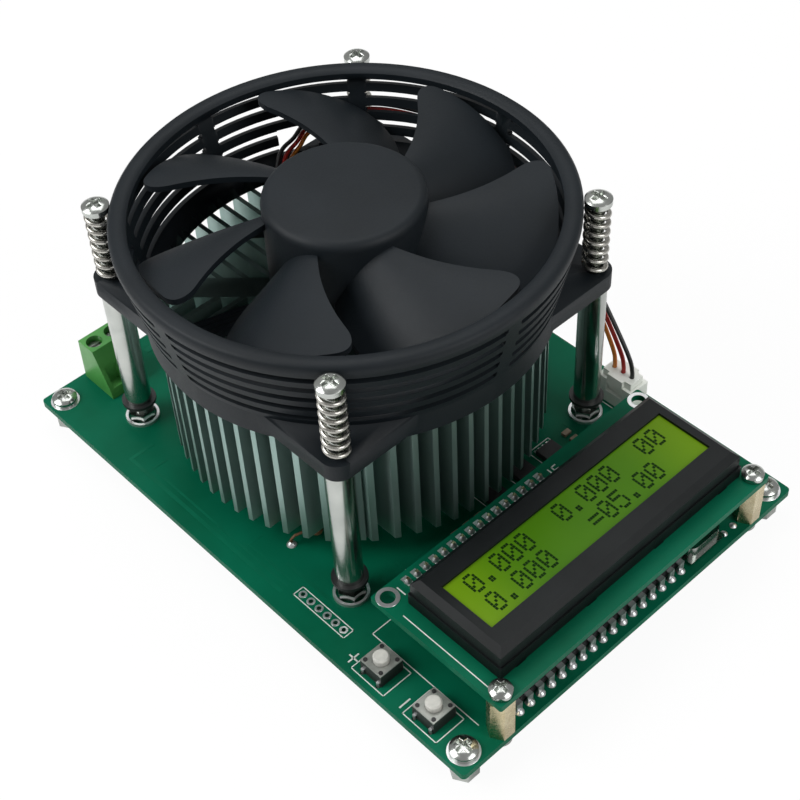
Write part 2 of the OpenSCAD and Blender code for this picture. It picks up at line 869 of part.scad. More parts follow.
// Box with bevelled upper edges
module bevelled(w, l, h, b, z) {
  translate([0, 0, z])
    intersection() {
      translate([0, l / 2, 0])
        rotate([90, 0, 0])
          linear_extrude(l)
            polygon([[-w / 2, 0], [w / 2, 0], [w / 2, h - b], [w / 2 - b, h], [b - w / 2, h], [-w / 2, h - b]]);
      translate([-w / 2, 0, 0])
        rotate([90, 0, 90])
          linear_extrude(w)
            polygon([[-l / 2, 0], [l / 2, 0], [l / 2, h - b], [l / 2 - b, h], [b - l / 2, h], [-l / 2, h - b]]);
    }
}

module display_bezel() {
  color(black) {
    difference() {
      union() {
        translate([0, bezel_y, 0]) {
          bevelled(bezel_w - 2 * bezel_step, bezel_l - 2 * bezel_step, bezel_h, bezel_bevel, display_top);
          block(bezel_w, bezel_l, bezel_h * 0.42, display_top);
        }
        bezel_tabs(tab_w, tab_t, tab_drop + e, display_top - tab_drop);
      }
      translate([0, bezel_y, 0]) {
        block(bezel_w - 2 * bezel_step - 2 * bezel_wall - 1.6, bezel_l - 2 * bezel_step - 2 * bezel_wall - 1.6,
          bezel_h - bezel_wall + e, display_top - e);
        block(window_w, window_l, bezel_h, display_top + 2);
      }
    }
  }
}

inner_w = bezel_w - 2 * bezel_step - 2 * bezel_wall - 2;
inner_l = bezel_l - 2 * bezel_step - 2 * bezel_wall - 2;

module display_glass() {
  color([0.62, 0.72, 0.2])
    translate([0, bezel_y, 0])
      block(inner_w, inner_l, glass_t, display_top + bezel_h - bezel_wall - glass_t);
}

module display_backlight() {
  color([0.75, 0.85, 0.3])
    translate([0, bezel_y, 0])
      block(inner_w, inner_l - 6, bezel_h - bezel_wall - glass_t, display_top);
}

module display_contacts() {
  color([0.75, 0.72, 0.72])
    for (s = [-1, 1])
      translate([0, bezel_y + s * (inner_l / 2 - 1.4), 0])
        block(inner_w - 2, 2, bezel_h - bezel_wall - glass_t, display_top);
}

module display_drivers() {
  color(black)
    for (x = [-16, 14])
      translate([x, display_y - 2, display_z - 1.4]) cylinder(r1 = 5.5, r2 = 8, h = 1.4);
}

module display_pins() {
  color(brass)
    for (i = [0:pin_count - 1])
      translate([pin_x0 + i * pin_pitch, pin_y, 0])
        block(pin_w, pin_w, standoff_h - 3 + board_t + pin_over, board_top + 3);
}

module display_pin_strip() {
  color(black)
    difference() {
      translate([pin_x0 + (pin_count - 1) * pin_pitch / 2, pin_y, 0])
        block(pin_count * pin_pitch, strip_w, strip_h, board_top + socket_h);
      for (i = [0:pin_count - 1])
        translate([pin_x0 + i * pin_pitch, pin_y, 0])
          block(pin_w + 0.06, pin_w + 0.06, strip_h + 1, board_top + socket_h - 0.5);
    }
}

module display_socket() {
  color(black)
    difference() {
      translate([pin_x0 + (pin_count - 1) * pin_pitch / 2, pin_y, 0])
        block(pin_count * pin_pitch + 0.6, strip_w, socket_h, board_top);
      for (i = [0:pin_count - 1])
        translate([pin_x0 + i * pin_pitch, pin_y, 0])
          block(pin_w + 0.2, pin_w + 0.2, socket_h + 2, board_top - 1);
    }
}

module socket_contacts() {
  color(silver)
    for (i = [0:pin_count - 1])
      translate([pin_x0 + i * pin_pitch, pin_y, 0])
        block(pin_w, pin_w, board_t + 3.6, foot_h - 1.6);
}

module controller() {
  color(black)
    translate([chip_x, chip_y, 0])
      difference() {
        block(chip_w, chip_l, chip_h, board_top + chip_lift);
        translate([-chip_w / 2, 0, board_top + chip_lift + chip_h - 1]) cylinder(r = 1.6, h = 2);
        for (sy = [-1, 1])
          translate([0, sy * chip_l / 2, 0]) block(chip_w + 1, 0.4, 0.34, board_top + chip_lift + chip_h / 2);
      }
}

module controller_pins() {
  color(silver)
    for (sy = [-1, 1], i = [0:chip_pins - 1])
      translate([chip_x + (i - (chip_pins - 1) / 2) * chip_pitch, chip_y + sy * chip_rows / 2, 0]) {
        block(0.5, 0.3, board_t + 1.2 + chip_lift + chip_h / 2 + 0.3, foot_h - 1.2);
        translate([-0.75, -0.15, board_top + chip_lift - 0.3]) cube([1.5, 0.3, chip_h / 2 + 0.6]);
        translate([-0.75, sy > 0 ? -(chip_rows - chip_l) / 2 : -e, board_top + chip_lift + chip_h / 2])
          cube([1.5, (chip_rows - chip_l) / 2 + e, 0.3]);
      }
}

module crystal() {
  color(silver)
    translate([crystal_x, crystal_y, 0]) {
      block(crystal_w, crystal_l, 0.5, board_top + 0.4);
      for (sx = [-1, 1])
        translate([sx * crystal_pin_x, 0, foot_h - 1]) cylinder(r = 0.25, h = board_t + 1.4 + e);
      block(6.2, 3.6, 3.2, board_top + 0.9 - e);
      for (sx = [-1, 1])
        translate([sx * 3.1, 0, board_top + 0.9 - e]) cylinder(r = 1.8, h = 3.2);
    }
}

module amplifier_chips() {
  color(black)
    for (p = so_at)
      translate([p[0], p[1], 0]) block(so_w, so_l, so_h - 0.1, board_top + 0.1);
}

module amplifier_leads() {
  color(silver)
    for (p = so_at, i = [0:3], sy = [-1, 1])
      translate([p[0] + (i - 1.5) * so_pitch, p[1] + sy * (so_l / 2 + 0.5), 0]) {
        block(0.42, 1, 0.2, board_top);
        translate([0, -sy * 0.3, 0]) block(0.42, 0.4, 0.9, board_top);
      }
}

module chip_parts() {
  color([0.55, 0.48, 0.4])
    for (p = small_at)
      translate([p[0], p[1], 0]) block(small_size[0], small_size[1], small_size[2], board_top);
}

module temperature_sensor() {
  color([0.62, 0.35, 0.18]) {
    sweep([[sensor_at[0], sensor_at[1], foot_h - 1], [sensor_at[0], sensor_at[1], board_top + 1.6],
      [sensor_at[0] + 0.8, sensor_at[1] - 0.5, board_top + 2.8], [-34, -5.9, board_top + 3.3],
      [-32.4, -6.9, board_top + 3.4]], 0.32, wire_sides);
    translate([-31.6, -7.4, board_top + 3.4]) sphere(r = 1.4);
  }
}

module switch_bases() {
  color(black)
    at_switches()
      difference() {
        union() {
          block(switch_w, switch_w, switch_h - cover_t, 0);
          for (sx = [-1, 1], sy = [-1, 1])
            translate([sx * (switch_w / 2 - peg_in), sy * (switch_w / 2 - peg_in), 0])
              cylinder(r = peg_r, h = switch_h + 0.15, $fn = 24);
        }
        translate([0, 0, 0.6]) cylinder(r = well_r, h = switch_h);
      }
}

module switch_covers() {
  color([0.8, 0.79, 0.74])
    at_switches()
      difference() {
        block(switch_w, switch_w, cover_t, switch_h - cover_t);
        translate([0, 0, switch_h - 1]) cylinder(r = button_r + run_gap, h = 2);
        for (sx = [-1, 1], sy = [-1, 1])
          translate([sx * (switch_w / 2 - peg_in), sy * (switch_w / 2 - peg_in), 0])
            cylinder(r = peg_r + 0.02, h = switch_h + 1, $fn = 24);
      }
}

module switch_domes() {
  color(silver)
    at_switches() translate([0, 0, 0.6]) cylinder(r1 = 1.9, r2 = 1.1, h = 0.35);
}

module switch_leads() {
  color(silver)
    at_switches()
      for (sx = [-1, 1], sy = [-1, 1])
        translate([sx * 3.25, sy * 2.25, 0]) {
          block(0.3, 0.7, board_t + 2.6, -board_t - 1.4);
          translate([sx > 0 ? -0.25 : 0, -0.35, 0.9]) cube([0.25, 0.7, 0.3]);
        }
}

module button_at(y) {
  translate([switch_x, y, board_top + 0.6 + 0.35 + free_gap + button_travel])
    union() {
      cylinder(r = button_r, h = button_h - 1.35 - free_gap - button_travel + 0.4 - 0.3);
      translate([0, 0, button_h - 1.25 - free_gap - button_travel - e]) cylinder(r1 = button_r, r2 = button_r - 0.3, h = 0.3);
    }
}

module increase_button() {
  color(white) button_at(increase_y);
}

module decrease_button() {
  color(white) button_at(decrease_y);
}

module terminal_block() {
  color([0.1, 0.55, 0.2])
    difference() {
      translate([terminal_x - way_pitch, terminal_y, board_top])
        rotate([90, 0, 90])
          linear_extrude(2 * way_pitch)
            polygon([[0, 0], [terminal_l, 0], [terminal_l - 0.5, terminal_h],
              [terminal_l - 0.5 - terminal_top_l, terminal_h], [0.4, 2.4]]);
      for (x = way_x) {
        translate([x - clamp_w / 2 - free_gap, screw_y - clamp_l / 2 - free_gap, board_top + chamber_floor])
          cube([clamp_w + 2 * free_gap, terminal_l, chamber_h]);
        translate([x, screw_y, board_top + chamber_floor + chamber_h - 1])
          cylinder(r = terminal_screw_r + free_gap, h = 3);
        translate([x, screw_y, board_top + chamber_floor + chamber_h + well_floor])
          cylinder(r = terminal_well_r, h = terminal_h);
        translate([x, screw_y, board_top - e]) cylinder(r = 0.65, h = chamber_floor + 2 * e);
        translate([x - niche_w / 2, terminal_y - 1, board_top + 2.6]) cube([niche_w, niche_l + 1, terminal_h]);
      }
    }
}

module terminal_pins() {
  color(silver)
    for (x = way_x)
      translate([x, screw_y, foot_h - 1.6]) cylinder(r = 0.6, h = board_t + 2.6);
}

module terminal_screw(x) {
  tip_z = clamp_z + clamp_floor + clamp_rise + free_gap;
  seat_z = board_top + chamber_floor + chamber_h + well_floor + free_gap;
  translate([x, screw_y, 0])
    difference() {
      union() {
        translate([0, 0, tip_z]) cylinder(r = terminal_screw_r, h = seat_z - tip_z + e);
        translate([0, 0, seat_z]) cylinder(r = terminal_head_r, h = terminal_head_h);
      }
      block(3 * terminal_head_r, slot_w, 2, seat_z + terminal_head_h - 0.8);
    }
}

module terminal_screw_left() {
  color(silver) terminal_screw(way_x[0]);
}

module terminal_screw_right() {
  color(silver) terminal_screw(way_x[1]);
}

module wire_clamp(x) {
  translate([x, screw_y, 0])
    difference() {
      block(clamp_w, clamp_l, clamp_h, clamp_z);
      block(clamp_w - 1, clamp_l + 1, clamp_h - clamp_floor - clamp_roof, clamp_z + clamp_floor);
      translate([0, 0, clamp_z + clamp_h - clamp_roof - e]) cylinder(r = terminal_screw_r + run_gap, h = clamp_roof + 2 * e);
    }
}

module wire_clamp_left() {
  color(silver) wire_clamp(way_x[0]);
}

module wire_clamp_right() {
  color(silver) wire_clamp(way_x[1]);
}

main_board();
board_feet();
board_screws();
power_transistors();
transistor_leads();
thermal_pads();
shunt_wire();
heatsink();
corner_posts();
post_washers();
post_nuts();
lock_nuts();
fan_frame();
spring_screws();
clamp_springs();
fan_circuit_board();
fan_stator();
stator_coils();
fan_bearing();
fan_shaft();
rotor_magnet();
rotor_yoke();
fan_rotor();
fan_wire_red();
fan_wire_yellow();
fan_wire_black();
fan_header();
fan_header_pins();
fan_plug();
display_standoffs();
display_screws();
display_board();
display_bezel();
display_glass();
display_backlight();
display_contacts();
display_drivers();
display_pins();
display_pin_strip();
display_socket();
socket_contacts();
controller();
controller_pins();
crystal();
amplifier_chips();
amplifier_leads();
chip_parts();
temperature_sensor();
switch_bases();
switch_covers();
switch_domes();
switch_leads();
increase_button();
decrease_button();
terminal_block();
terminal_pins();
terminal_screw_left();
terminal_screw_right();
wire_clamp_left();
wire_clamp_right();
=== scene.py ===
# %% [markdown]
# # A bench electronic load
# The part is a green circuit board with a processor cooler, a two line display, two push buttons
# and a screw terminal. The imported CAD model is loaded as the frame: every node keeps its place.
# The cells below give each surface its finish and replace a few plain solids by finer meshes.

# %% Load the frame
import json
import math
import bpy
import bmesh
from mathutils import Matrix, Vector


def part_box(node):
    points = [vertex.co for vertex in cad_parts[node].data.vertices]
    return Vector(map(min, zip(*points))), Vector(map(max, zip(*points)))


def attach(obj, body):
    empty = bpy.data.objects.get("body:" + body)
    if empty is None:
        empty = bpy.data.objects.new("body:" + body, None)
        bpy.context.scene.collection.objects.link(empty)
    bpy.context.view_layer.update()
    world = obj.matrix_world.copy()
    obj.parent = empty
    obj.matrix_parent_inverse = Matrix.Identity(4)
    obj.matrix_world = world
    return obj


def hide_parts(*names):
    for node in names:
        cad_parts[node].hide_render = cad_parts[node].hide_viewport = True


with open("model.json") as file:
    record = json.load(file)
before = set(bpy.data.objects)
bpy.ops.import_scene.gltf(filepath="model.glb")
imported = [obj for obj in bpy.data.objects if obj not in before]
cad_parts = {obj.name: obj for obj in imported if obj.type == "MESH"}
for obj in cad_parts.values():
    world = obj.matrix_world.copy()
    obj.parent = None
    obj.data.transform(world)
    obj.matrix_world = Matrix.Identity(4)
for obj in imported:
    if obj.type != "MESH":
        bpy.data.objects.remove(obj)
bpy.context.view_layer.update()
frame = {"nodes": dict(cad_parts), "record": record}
nodes = frame["nodes"]
MM = 0.001
BOARD_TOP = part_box("main_board")[1].z
BOARD_Z = BOARD_TOP / MM


def place(name, data):
    thing = bpy.data.objects.new(name, data)
    bpy.context.scene.collection.objects.link(thing)
    return thing


# %% [markdown]
# ## Camera
# The photograph's camera was solved from the corners of the board and of the display, so it is
# written here as a viewing direction, a distance and a roll. A small lens shift puts the picture's
# middle where the photograph has it.

# %% Camera at the photograph's view
AZIMUTH, ELEVATION, ROLL = (math.radians(a) for a in (-40.373, 46.469, -3.767))
AIM_MM, DISTANCE_MM = (-5.848, -3.709, 19.988), 341.04
FOCAL_PX, PHOTO_PX, SENSOR_MM = 1596.88, 800, 36
SHIFT_X, SHIFT_Y = 0.01296, 0.00478
back = Vector((math.sin(AZIMUTH) * math.cos(ELEVATION),
               -math.cos(AZIMUTH) * math.cos(ELEVATION), math.sin(ELEVATION)))
side = Vector((math.cos(AZIMUTH), math.sin(AZIMUTH), 0))
up = back.cross(side)
right = side * math.cos(ROLL) + up * math.sin(ROLL)
above = up * math.cos(ROLL) - side * math.sin(ROLL)
target = Vector(AIM_MM) * MM + Vector((0, 0, BOARD_TOP))
camera = place("camera", bpy.data.cameras.new("camera"))
turn = Matrix((right, above, back)).transposed().to_4x4()
camera.matrix_world = Matrix.Translation(target + back * DISTANCE_MM * MM) @ turn
camera.data.sensor_width = SENSOR_MM
camera.data.lens = FOCAL_PX * SENSOR_MM / PHOTO_PX
camera.data.shift_x, camera.data.shift_y = SHIFT_X, SHIFT_Y
camera.data.clip_start, camera.data.clip_end = 0.01, 20
bpy.context.scene.camera = camera
bpy.context.scene.view_settings.view_transform = "Standard"
print("camera", [round(v, 3) for v in camera.location])

# %% [markdown]
# ## Light, floor and backdrop
# Product shots of boards are lit by large soft boxes. One big lamp stands behind on the left, one
# in front on the right and one overhead. The world is white to the camera and through glass.
# Mirrors see it as a grey, and everything else is lit by a darker grey, so that dark corners get
# light without washing the black plastic out.

# %% World
WORLD_LIGHT, MIRROR_SHARE = 0.272, 0.145


def link(tree, a, b):
    tree.links.new(a, b)


world = bpy.data.worlds.new("studio")
bpy.context.scene.world = world
world.use_nodes = True
wt = world.node_tree
wt.nodes.clear()
path = wt.nodes.new("ShaderNodeLightPath")
seen = wt.nodes.new("ShaderNodeMath")
seen.operation = "MAXIMUM"
mirror = wt.nodes.new("ShaderNodeMath")
mirror.operation = "MULTIPLY"
mirror.inputs[1].default_value = MIRROR_SHARE
through = wt.nodes.new("ShaderNodeMath")
through.operation = "MAXIMUM"
lit = wt.nodes.new("ShaderNodeMapRange")
lit.inputs["To Min"].default_value = WORLD_LIGHT
lit.inputs["To Max"].default_value = 1.0
bg = wt.nodes.new("ShaderNodeBackground")
bg.inputs["Color"].default_value = (1.0, 1.0, 1.0, 1)
out = wt.nodes.new("ShaderNodeOutputWorld")
link(wt, path.outputs["Is Glossy Ray"], mirror.inputs[0])
link(wt, path.outputs["Is Camera Ray"], seen.inputs[0])
link(wt, mirror.outputs[0], seen.inputs[1])
link(wt, seen.outputs[0], through.inputs[0])
link(wt, path.outputs["Is Transmission Ray"], through.inputs[1])
link(wt, through.outputs[0], lit.inputs["Value"])
link(wt, lit.outputs["Result"], bg.inputs["Strength"])
link(wt, bg.outputs[0], out.inputs["Surface"])

# %% Lamps and floor
LAMP_AIM = Vector((0, 0, 0.03))
LAMPS = (("soft_left", (-0.55, 0.35, 0.6), 0.5, 5.0),
         ("soft_front", (0.15, -0.75, 0.55), 0.5, 3.2),
         ("soft_top", (0.2, 0.25, 0.9), 0.7, 3.6))
FLOOR_HALF, FLOOR_DROP, FLOOR_GLOW = 3, 0.0002, 0.94
for name, spot, size, watts in LAMPS:
    light = bpy.data.lights.new(name, "AREA")
    light.size, light.energy = size, watts
    light.color = (1.0, 1.0, 1.0)
    lamp = place(name, light)
    lamp.location = spot
    lamp.rotation_euler = (LAMP_AIM - Vector(spot)).to_track_quat("-Z", "Y").to_euler()

floor_mesh = bpy.data.meshes.new("floor")
floor_mesh.from_pydata([(sx * FLOOR_HALF, sy * FLOOR_HALF, 0)
                        for sx, sy in ((-1, -1), (1, -1), (1, 1), (-1, 1))], [], [(0, 1, 2, 3)])
floor = place("floor", floor_mesh)
floor.location.z = -FLOOR_DROP
paint = bpy.data.materials.new("pale_floor")
paint.use_nodes = True
ft = paint.node_tree
shader = ft.nodes["Principled BSDF"]
shader.inputs["Base Color"].default_value = (0.95, 0.95, 0.95, 1)
shader.inputs["Roughness"].default_value = 0.9
glow = ft.nodes.new("ShaderNodeEmission")
glow.inputs["Strength"].default_value = 1.0
floor_path = ft.nodes.new("ShaderNodeLightPath")
mix = ft.nodes.new("ShaderNodeMixShader")
share = ft.nodes.new("ShaderNodeMath")
share.operation = "MULTIPLY"
share.inputs[1].default_value = FLOOR_GLOW
link(ft, floor_path.outputs["Is Camera Ray"], share.inputs[0])
link(ft, share.outputs[0], mix.inputs[0])
link(ft, shader.outputs[0], mix.inputs[1])
link(ft, glow.outputs[0], mix.inputs[2])
link(ft, mix.outputs[0], ft.nodes["Material Output"].inputs["Surface"])
floor.data.materials.append(paint)
print("studio ready")

# %% [markdown]
# ## How the finishes are made
# Nothing real has one flat colour. A helper builds each material from Object coordinates: a soft
# cloud noise that drifts between two colours, a fine noise for the grain that also moves the
# roughness, and a bump from that grain. `stretch` squeezes the grain along one axis, which turns
# it into saw or drawing marks on metal.

# %% Helper: a finish from noise
RELIEF_DEPTH = 0.0002


def finish(name, dark, light, rough, metal=0.0, cloud=90.0, grain=1400.0, bump=0.05, spread=0.12,
           stretch=(1, 1, 1), coat=0.0, specular=0.5, glow=None):
    mat = bpy.data.materials.new(name)
    mat.use_nodes = True
    t = mat.node_tree
    s = t.nodes["Principled BSDF"]
    coord = t.nodes.new("ShaderNodeTexCoord")
    scaled = t.nodes.new("ShaderNodeMapping")
    scaled.inputs["Scale"].default_value = stretch
    clouds = t.nodes.new("ShaderNodeTexNoise")
    clouds.inputs["Scale"].default_value = cloud
    clouds.inputs["Detail"].default_value = 4
    tint = t.nodes.new("ShaderNodeValToRGB")
    first, last = tint.color_ramp.elements
    first.color, last.color = (*dark, 1), (*light, 1)
    first.position, last.position = 0.3, 0.7
    fine = t.nodes.new("ShaderNodeTexNoise")
    fine.inputs["Scale"].default_value = grain
    fine.inputs["Detail"].default_value = 3
    worn = t.nodes.new("ShaderNodeMapRange")
    worn.inputs["To Min"].default_value = max(0.03, rough - spread)
    worn.inputs["To Max"].default_value = min(1.0, rough + spread)
    relief = t.nodes.new("ShaderNodeBump")
    relief.inputs["Strength"].default_value = bump
    relief.inputs["Distance"].default_value = RELIEF_DEPTH
    link(t, coord.outputs["Object"], scaled.inputs["Vector"])
    link(t, scaled.outputs["Vector"], clouds.inputs["Vector"])
    link(t, scaled.outputs["Vector"], fine.inputs["Vector"])
    link(t, clouds.outputs["Fac"], tint.inputs["Fac"])
    link(t, tint.outputs["Color"], s.inputs["Base Color"])
    link(t, fine.outputs["Fac"], worn.inputs["Value"])
    link(t, worn.outputs["Result"], s.inputs["Roughness"])
    link(t, fine.outputs["Fac"], relief.inputs["Height"])
    link(t, relief.outputs["Normal"], s.inputs["Normal"])
    s.inputs["Metallic"].default_value = metal
    s.inputs["Specular IOR Level"].default_value = specular
    s.inputs["Coat Weight"].default_value = coat
    if glow:
        link(t, tint.outputs["Color"], s.inputs["Emission Color"])
        s.inputs["Emission Strength"].default_value = glow
    return mat


# %% [markdown]
# ## The palette
# One finish for each material slot of the record. Solder mask is a deep green lacquer with little
# shine. Nickel is a mirror with a faint cloud. The fins are sawn aluminium with streaks along
# their height; their colour is darkened for painted shade between the fins and tinted green for
# a painted reflection of the board. The fan is moulded in black plastic with a satin grain, and
# its colour is tinted blue for a painted reflection of the surroundings.

# %% Finishes by material slot
FINISHES = {
    "pcb_green": finish("solder_mask", (0.0006, 0.092, 0.045), (0.0014, 0.130, 0.068), 0.42,
                        cloud=55, grain=2600, bump=0.03, specular=0.08),
    "nickel_steel": finish("nickel_plate", (0.40, 0.42, 0.40), (0.54, 0.56, 0.53), 0.2,
                           metal=1.0, cloud=160, bump=0.02, spread=0.05),
    "spring_steel": finish("spring_wire", (0.36, 0.35, 0.32), (0.55, 0.54, 0.5), 0.27,
                           metal=1.0, cloud=400, bump=0.04),
    "solder_tin": finish("tin_plate", (0.56, 0.57, 0.57), (0.74, 0.75, 0.76), 0.3,
                         metal=0.85, cloud=220, bump=0.015, spread=0.05),
    "gold_brass": finish("brass", (0.52, 0.43, 0.25), (0.70, 0.61, 0.41), 0.27,
                         metal=1.0, cloud=240, bump=0.03),
    # Painted shade and painted reflection: the aluminium is darkened for the shade between the fins
    # and tinted green for the reflection of the green board.
    "aluminium": finish("sawn_aluminium_painted_shade_and_reflection", (0.20, 0.31, 0.28), (0.32, 0.44, 0.41), 0.36,
                        metal=0.8, cloud=120, grain=700, bump=0.06, stretch=(1, 1, 0.06)),
    # Painted reflection: the black plastic is tinted blue for the reflection of the surroundings.
    "fan_black": finish("moulded_black_painted_blue_reflection", (0.0036, 0.0064, 0.0088), (0.0068, 0.0105, 0.014), 0.54,
                        cloud=60, grain=2400, bump=0.10, spread=0.08, specular=0.26),
    "chip_black": finish("epoxy_black", (0.012, 0.012, 0.013), (0.024, 0.024, 0.025), 0.55,
                         cloud=300, grain=3500, bump=0.15),
    "strip_black": finish("strip_black", (0.008, 0.008, 0.009), (0.018, 0.018, 0.018), 0.42,
                          cloud=300, grain=3000, bump=0.08),
    "thermal_grey": finish("silicone_pad", (0.36, 0.37, 0.35), (0.46, 0.47, 0.45), 0.7,
                           cloud=300, bump=0.1),
    "shunt_copper": finish("resistance_wire", (0.42, 0.32, 0.27), (0.55, 0.45, 0.40), 0.32,
                           metal=0.9, cloud=300),
    "coil_copper": finish("enamelled_copper", (0.4, 0.14, 0.05), (0.56, 0.24, 0.1), 0.3,
                          metal=0.8, cloud=400, grain=1800, bump=0.3, stretch=(1, 1, 8)),
    "core_steel": finish("lamination_steel", (0.2, 0.2, 0.21), (0.34, 0.34, 0.35), 0.4,
                         metal=1.0, grain=900, bump=0.3, stretch=(0.1, 0.1, 6)),
    "magnet_dark": finish("ferrite", (0.03, 0.028, 0.026), (0.05, 0.048, 0.045), 0.7, bump=0.15),
    "wire_red": finish("red_insulation", (0.42, 0.012, 0.008), (0.55, 0.03, 0.02), 0.42,
                       bump=0.03),
    "wire_yellow": finish("orange_insulation", (0.62, 0.16, 0.015), (0.75, 0.28, 0.03), 0.42,
                          bump=0.03),
    "wire_black": finish("black_insulation", (0.012, 0.012, 0.012), (0.022, 0.022, 0.022), 0.42,
                         bump=0.03),
    "plug_white": finish("natural_nylon", (0.80, 0.83, 0.76), (0.90, 0.92, 0.87), 0.4,
                         cloud=200, bump=0.05),
    "bezel_black": finish("bezel_paint", (0.003, 0.0045, 0.0048), (0.006, 0.008, 0.0085), 0.42,
                          cloud=120, grain=3800, bump=0.10, specular=0.2),
    "lcd_glass": finish("display_cell", (0.038, 0.120, 0.002), (0.054, 0.150, 0.003), 0.3,
                        cloud=30, grain=900, bump=0.0, spread=0.04, specular=0.08, glow=0.25),
    "backlight": finish("light_guide", (0.2, 0.4, 0.02), (0.3, 0.5, 0.04), 0.3, cloud=40),
    "contact_pink": finish("elastomer_strip", (0.4, 0.33, 0.33), (0.5, 0.44, 0.44), 0.6,
                           grain=1500, bump=0.2, stretch=(6, 1, 1)),
    "part_tan": finish("fired_ceramic", (0.3, 0.22, 0.14), (0.42, 0.33, 0.24), 0.5,
                       cloud=500, bump=0.1),
    "sensor_copper": finish("dipped_bead", (0.13, 0.055, 0.022), (0.21, 0.1, 0.045), 0.34,
                            cloud=500, coat=0.2),
    "cover_tin": finish("tinned_cover", (0.26, 0.27, 0.25), (0.36, 0.37, 0.34), 0.36,
                        metal=0.7, cloud=400),
    "button_white": finish("button_plastic", (0.5, 0.5, 0.46), (0.62, 0.61, 0.56), 0.42,
                           cloud=600, bump=0.05),
    "terminal_green": finish("terminal_plastic", (0.045, 0.22, 0.04), (0.075, 0.30, 0.06), 0.36,
                             cloud=150, grain=2200, bump=0.05),
}

# %% [markdown]
# ## Light at the ends of the display
# Small lamps sit at the two short sides of the cell, so it is brighter and yellower there. The X
# coordinate, taken without its sign, drives a mix between the cell's own colour and the bright one.

# %% Brighter ends of the display cell
FADE_FROM, FADE_TO = 0.014, 0.034
cell = FINISHES["lcd_glass"].node_tree
cell_shader = cell.nodes["Principled BSDF"]
own = cell_shader.inputs["Base Color"].links[0].from_socket
where = cell.nodes.new("ShaderNodeTexCoord")
apart = cell.nodes.new("ShaderNodeSeparateXYZ")
unsigned = cell.nodes.new("ShaderNodeMath")
unsigned.operation = "ABSOLUTE"
fade = cell.nodes.new("ShaderNodeMapRange")
fade.interpolation_type = "SMOOTHSTEP"
fade.inputs["From Min"].default_value = FADE_FROM
fade.inputs["From Max"].default_value = FADE_TO
bright = cell.nodes.new("ShaderNodeMix")
bright.data_type = "RGBA"
bright.inputs["B"].default_value = (0.105, 0.205, 0.004, 1)
link(cell, where.outputs["Object"], apart.inputs["Vector"])
link(cell, apart.outputs["X"], unsigned.inputs[0])
link(cell, unsigned.outputs[0], fade.inputs["Value"])
link(cell, fade.outputs["Result"], bright.inputs["Factor"])
link(cell, own, bright.inputs["A"])
link(cell, bright.outputs["Result"], cell_shader.inputs["Base Color"])
link(cell, bright.outputs["Result"], cell_shader.inputs["Emission Color"])

# %% Paint every node by its slot
slot_of = {p["node"]: p["material_slot"] for p in frame["record"]["subparts"]}
for name, node in nodes.items():
    node.data.materials.clear()
    node.data.materials.append(FINISHES[slot_of[name]])
print("finishes", len(FINISHES))

# %% [markdown]
# ## Shading of the carried-over solids
# CAD meshes arrive as loose triangles. A Weld modifier joins them and an Edge Split keeps every
# corner sharper than thirty degrees crisp, so round walls shade smoothly and boxes keep their
# edges. The vertices themselves stay put.

# %% Smooth shading for round walls
WELD = 1e-6
CREASE, UNIT_CREASE = math.radians(30), math.radians(40)
for node in nodes.values():
    for face in node.data.polygons:
        face.use_smooth = True
    weld = node.modifiers.new("join", "WELD")
    weld.merge_threshold = WELD
    split = node.modifiers.new("corners", "EDGE_SPLIT")
    split.split_angle = CREASE
print("shaded", len(nodes))

# %% [markdown]
# ## Small mesh tools
# Most of the added pieces are flat prints, rings and lofts. `solid_mesh` turns lists of points and
# faces into a mesh with its faces outwards. `add_piece` makes an object of it at the origin, gives
# it a finish and lets it ride on a body. `lathe` turns a profile about an upright axis.

# %% Helpers for new pieces
def solid_mesh(name, points, faces):
    mesh = bpy.data.meshes.new(name)
    mesh.from_pydata([tuple(p) for p in points], [], faces)
    mesh.validate()
    build = bmesh.new()
    build.from_mesh(mesh)
    bmesh.ops.recalc_face_normals(build, faces=build.faces)
    build.to_mesh(mesh)
    build.free()
    return mesh


def add_piece(name, points, faces, material, body="load"):
    mesh = solid_mesh(name, points, faces)
    thing = place(name, mesh)
    mesh.materials.append(material)
    mesh.polygons.foreach_set("use_smooth", [False] * len(mesh.polygons))
    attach(thing, body)
    return thing


def box_mesh(points, faces, low, high):
    n = len(points)
    for z in (low[2], high[2]):
        points += [(low[0], low[1], z), (high[0], low[1], z),
                   (high[0], high[1], z), (low[0], high[1], z)]
    faces += [(n, n + 3, n + 2, n + 1), (n + 4, n + 5, n + 6, n + 7)]
    faces += [(n + i, n + (i + 1) % 4, n + 4 + (i + 1) % 4, n + 4 + i) for i in range(4)]


def lathe(profile, segments):
    points, faces, rings = [], [], []
    for r, z in profile:
        if r < 1e-9:
            rings.append([len(points)])
            points.append((0, 0, z))
        else:
            rings.append(list(range(len(points), len(points) + segments)))
            points += [(r * math.cos(2 * math.pi * k / segments),
                        r * math.sin(2 * math.pi * k / segments), z) for k in range(segments)]
    for a, b in zip(rings, rings[1:]):
        for k in range(segments):
            m = (k + 1) % segments
            if len(a) == 1:
                faces.append((a[0], b[k], b[m]))
            elif len(b) == 1:
                faces.append((a[k], b[0], a[m]))
            else:
                faces.append((a[k], b[k], b[m], a[m]))
    return points, faces
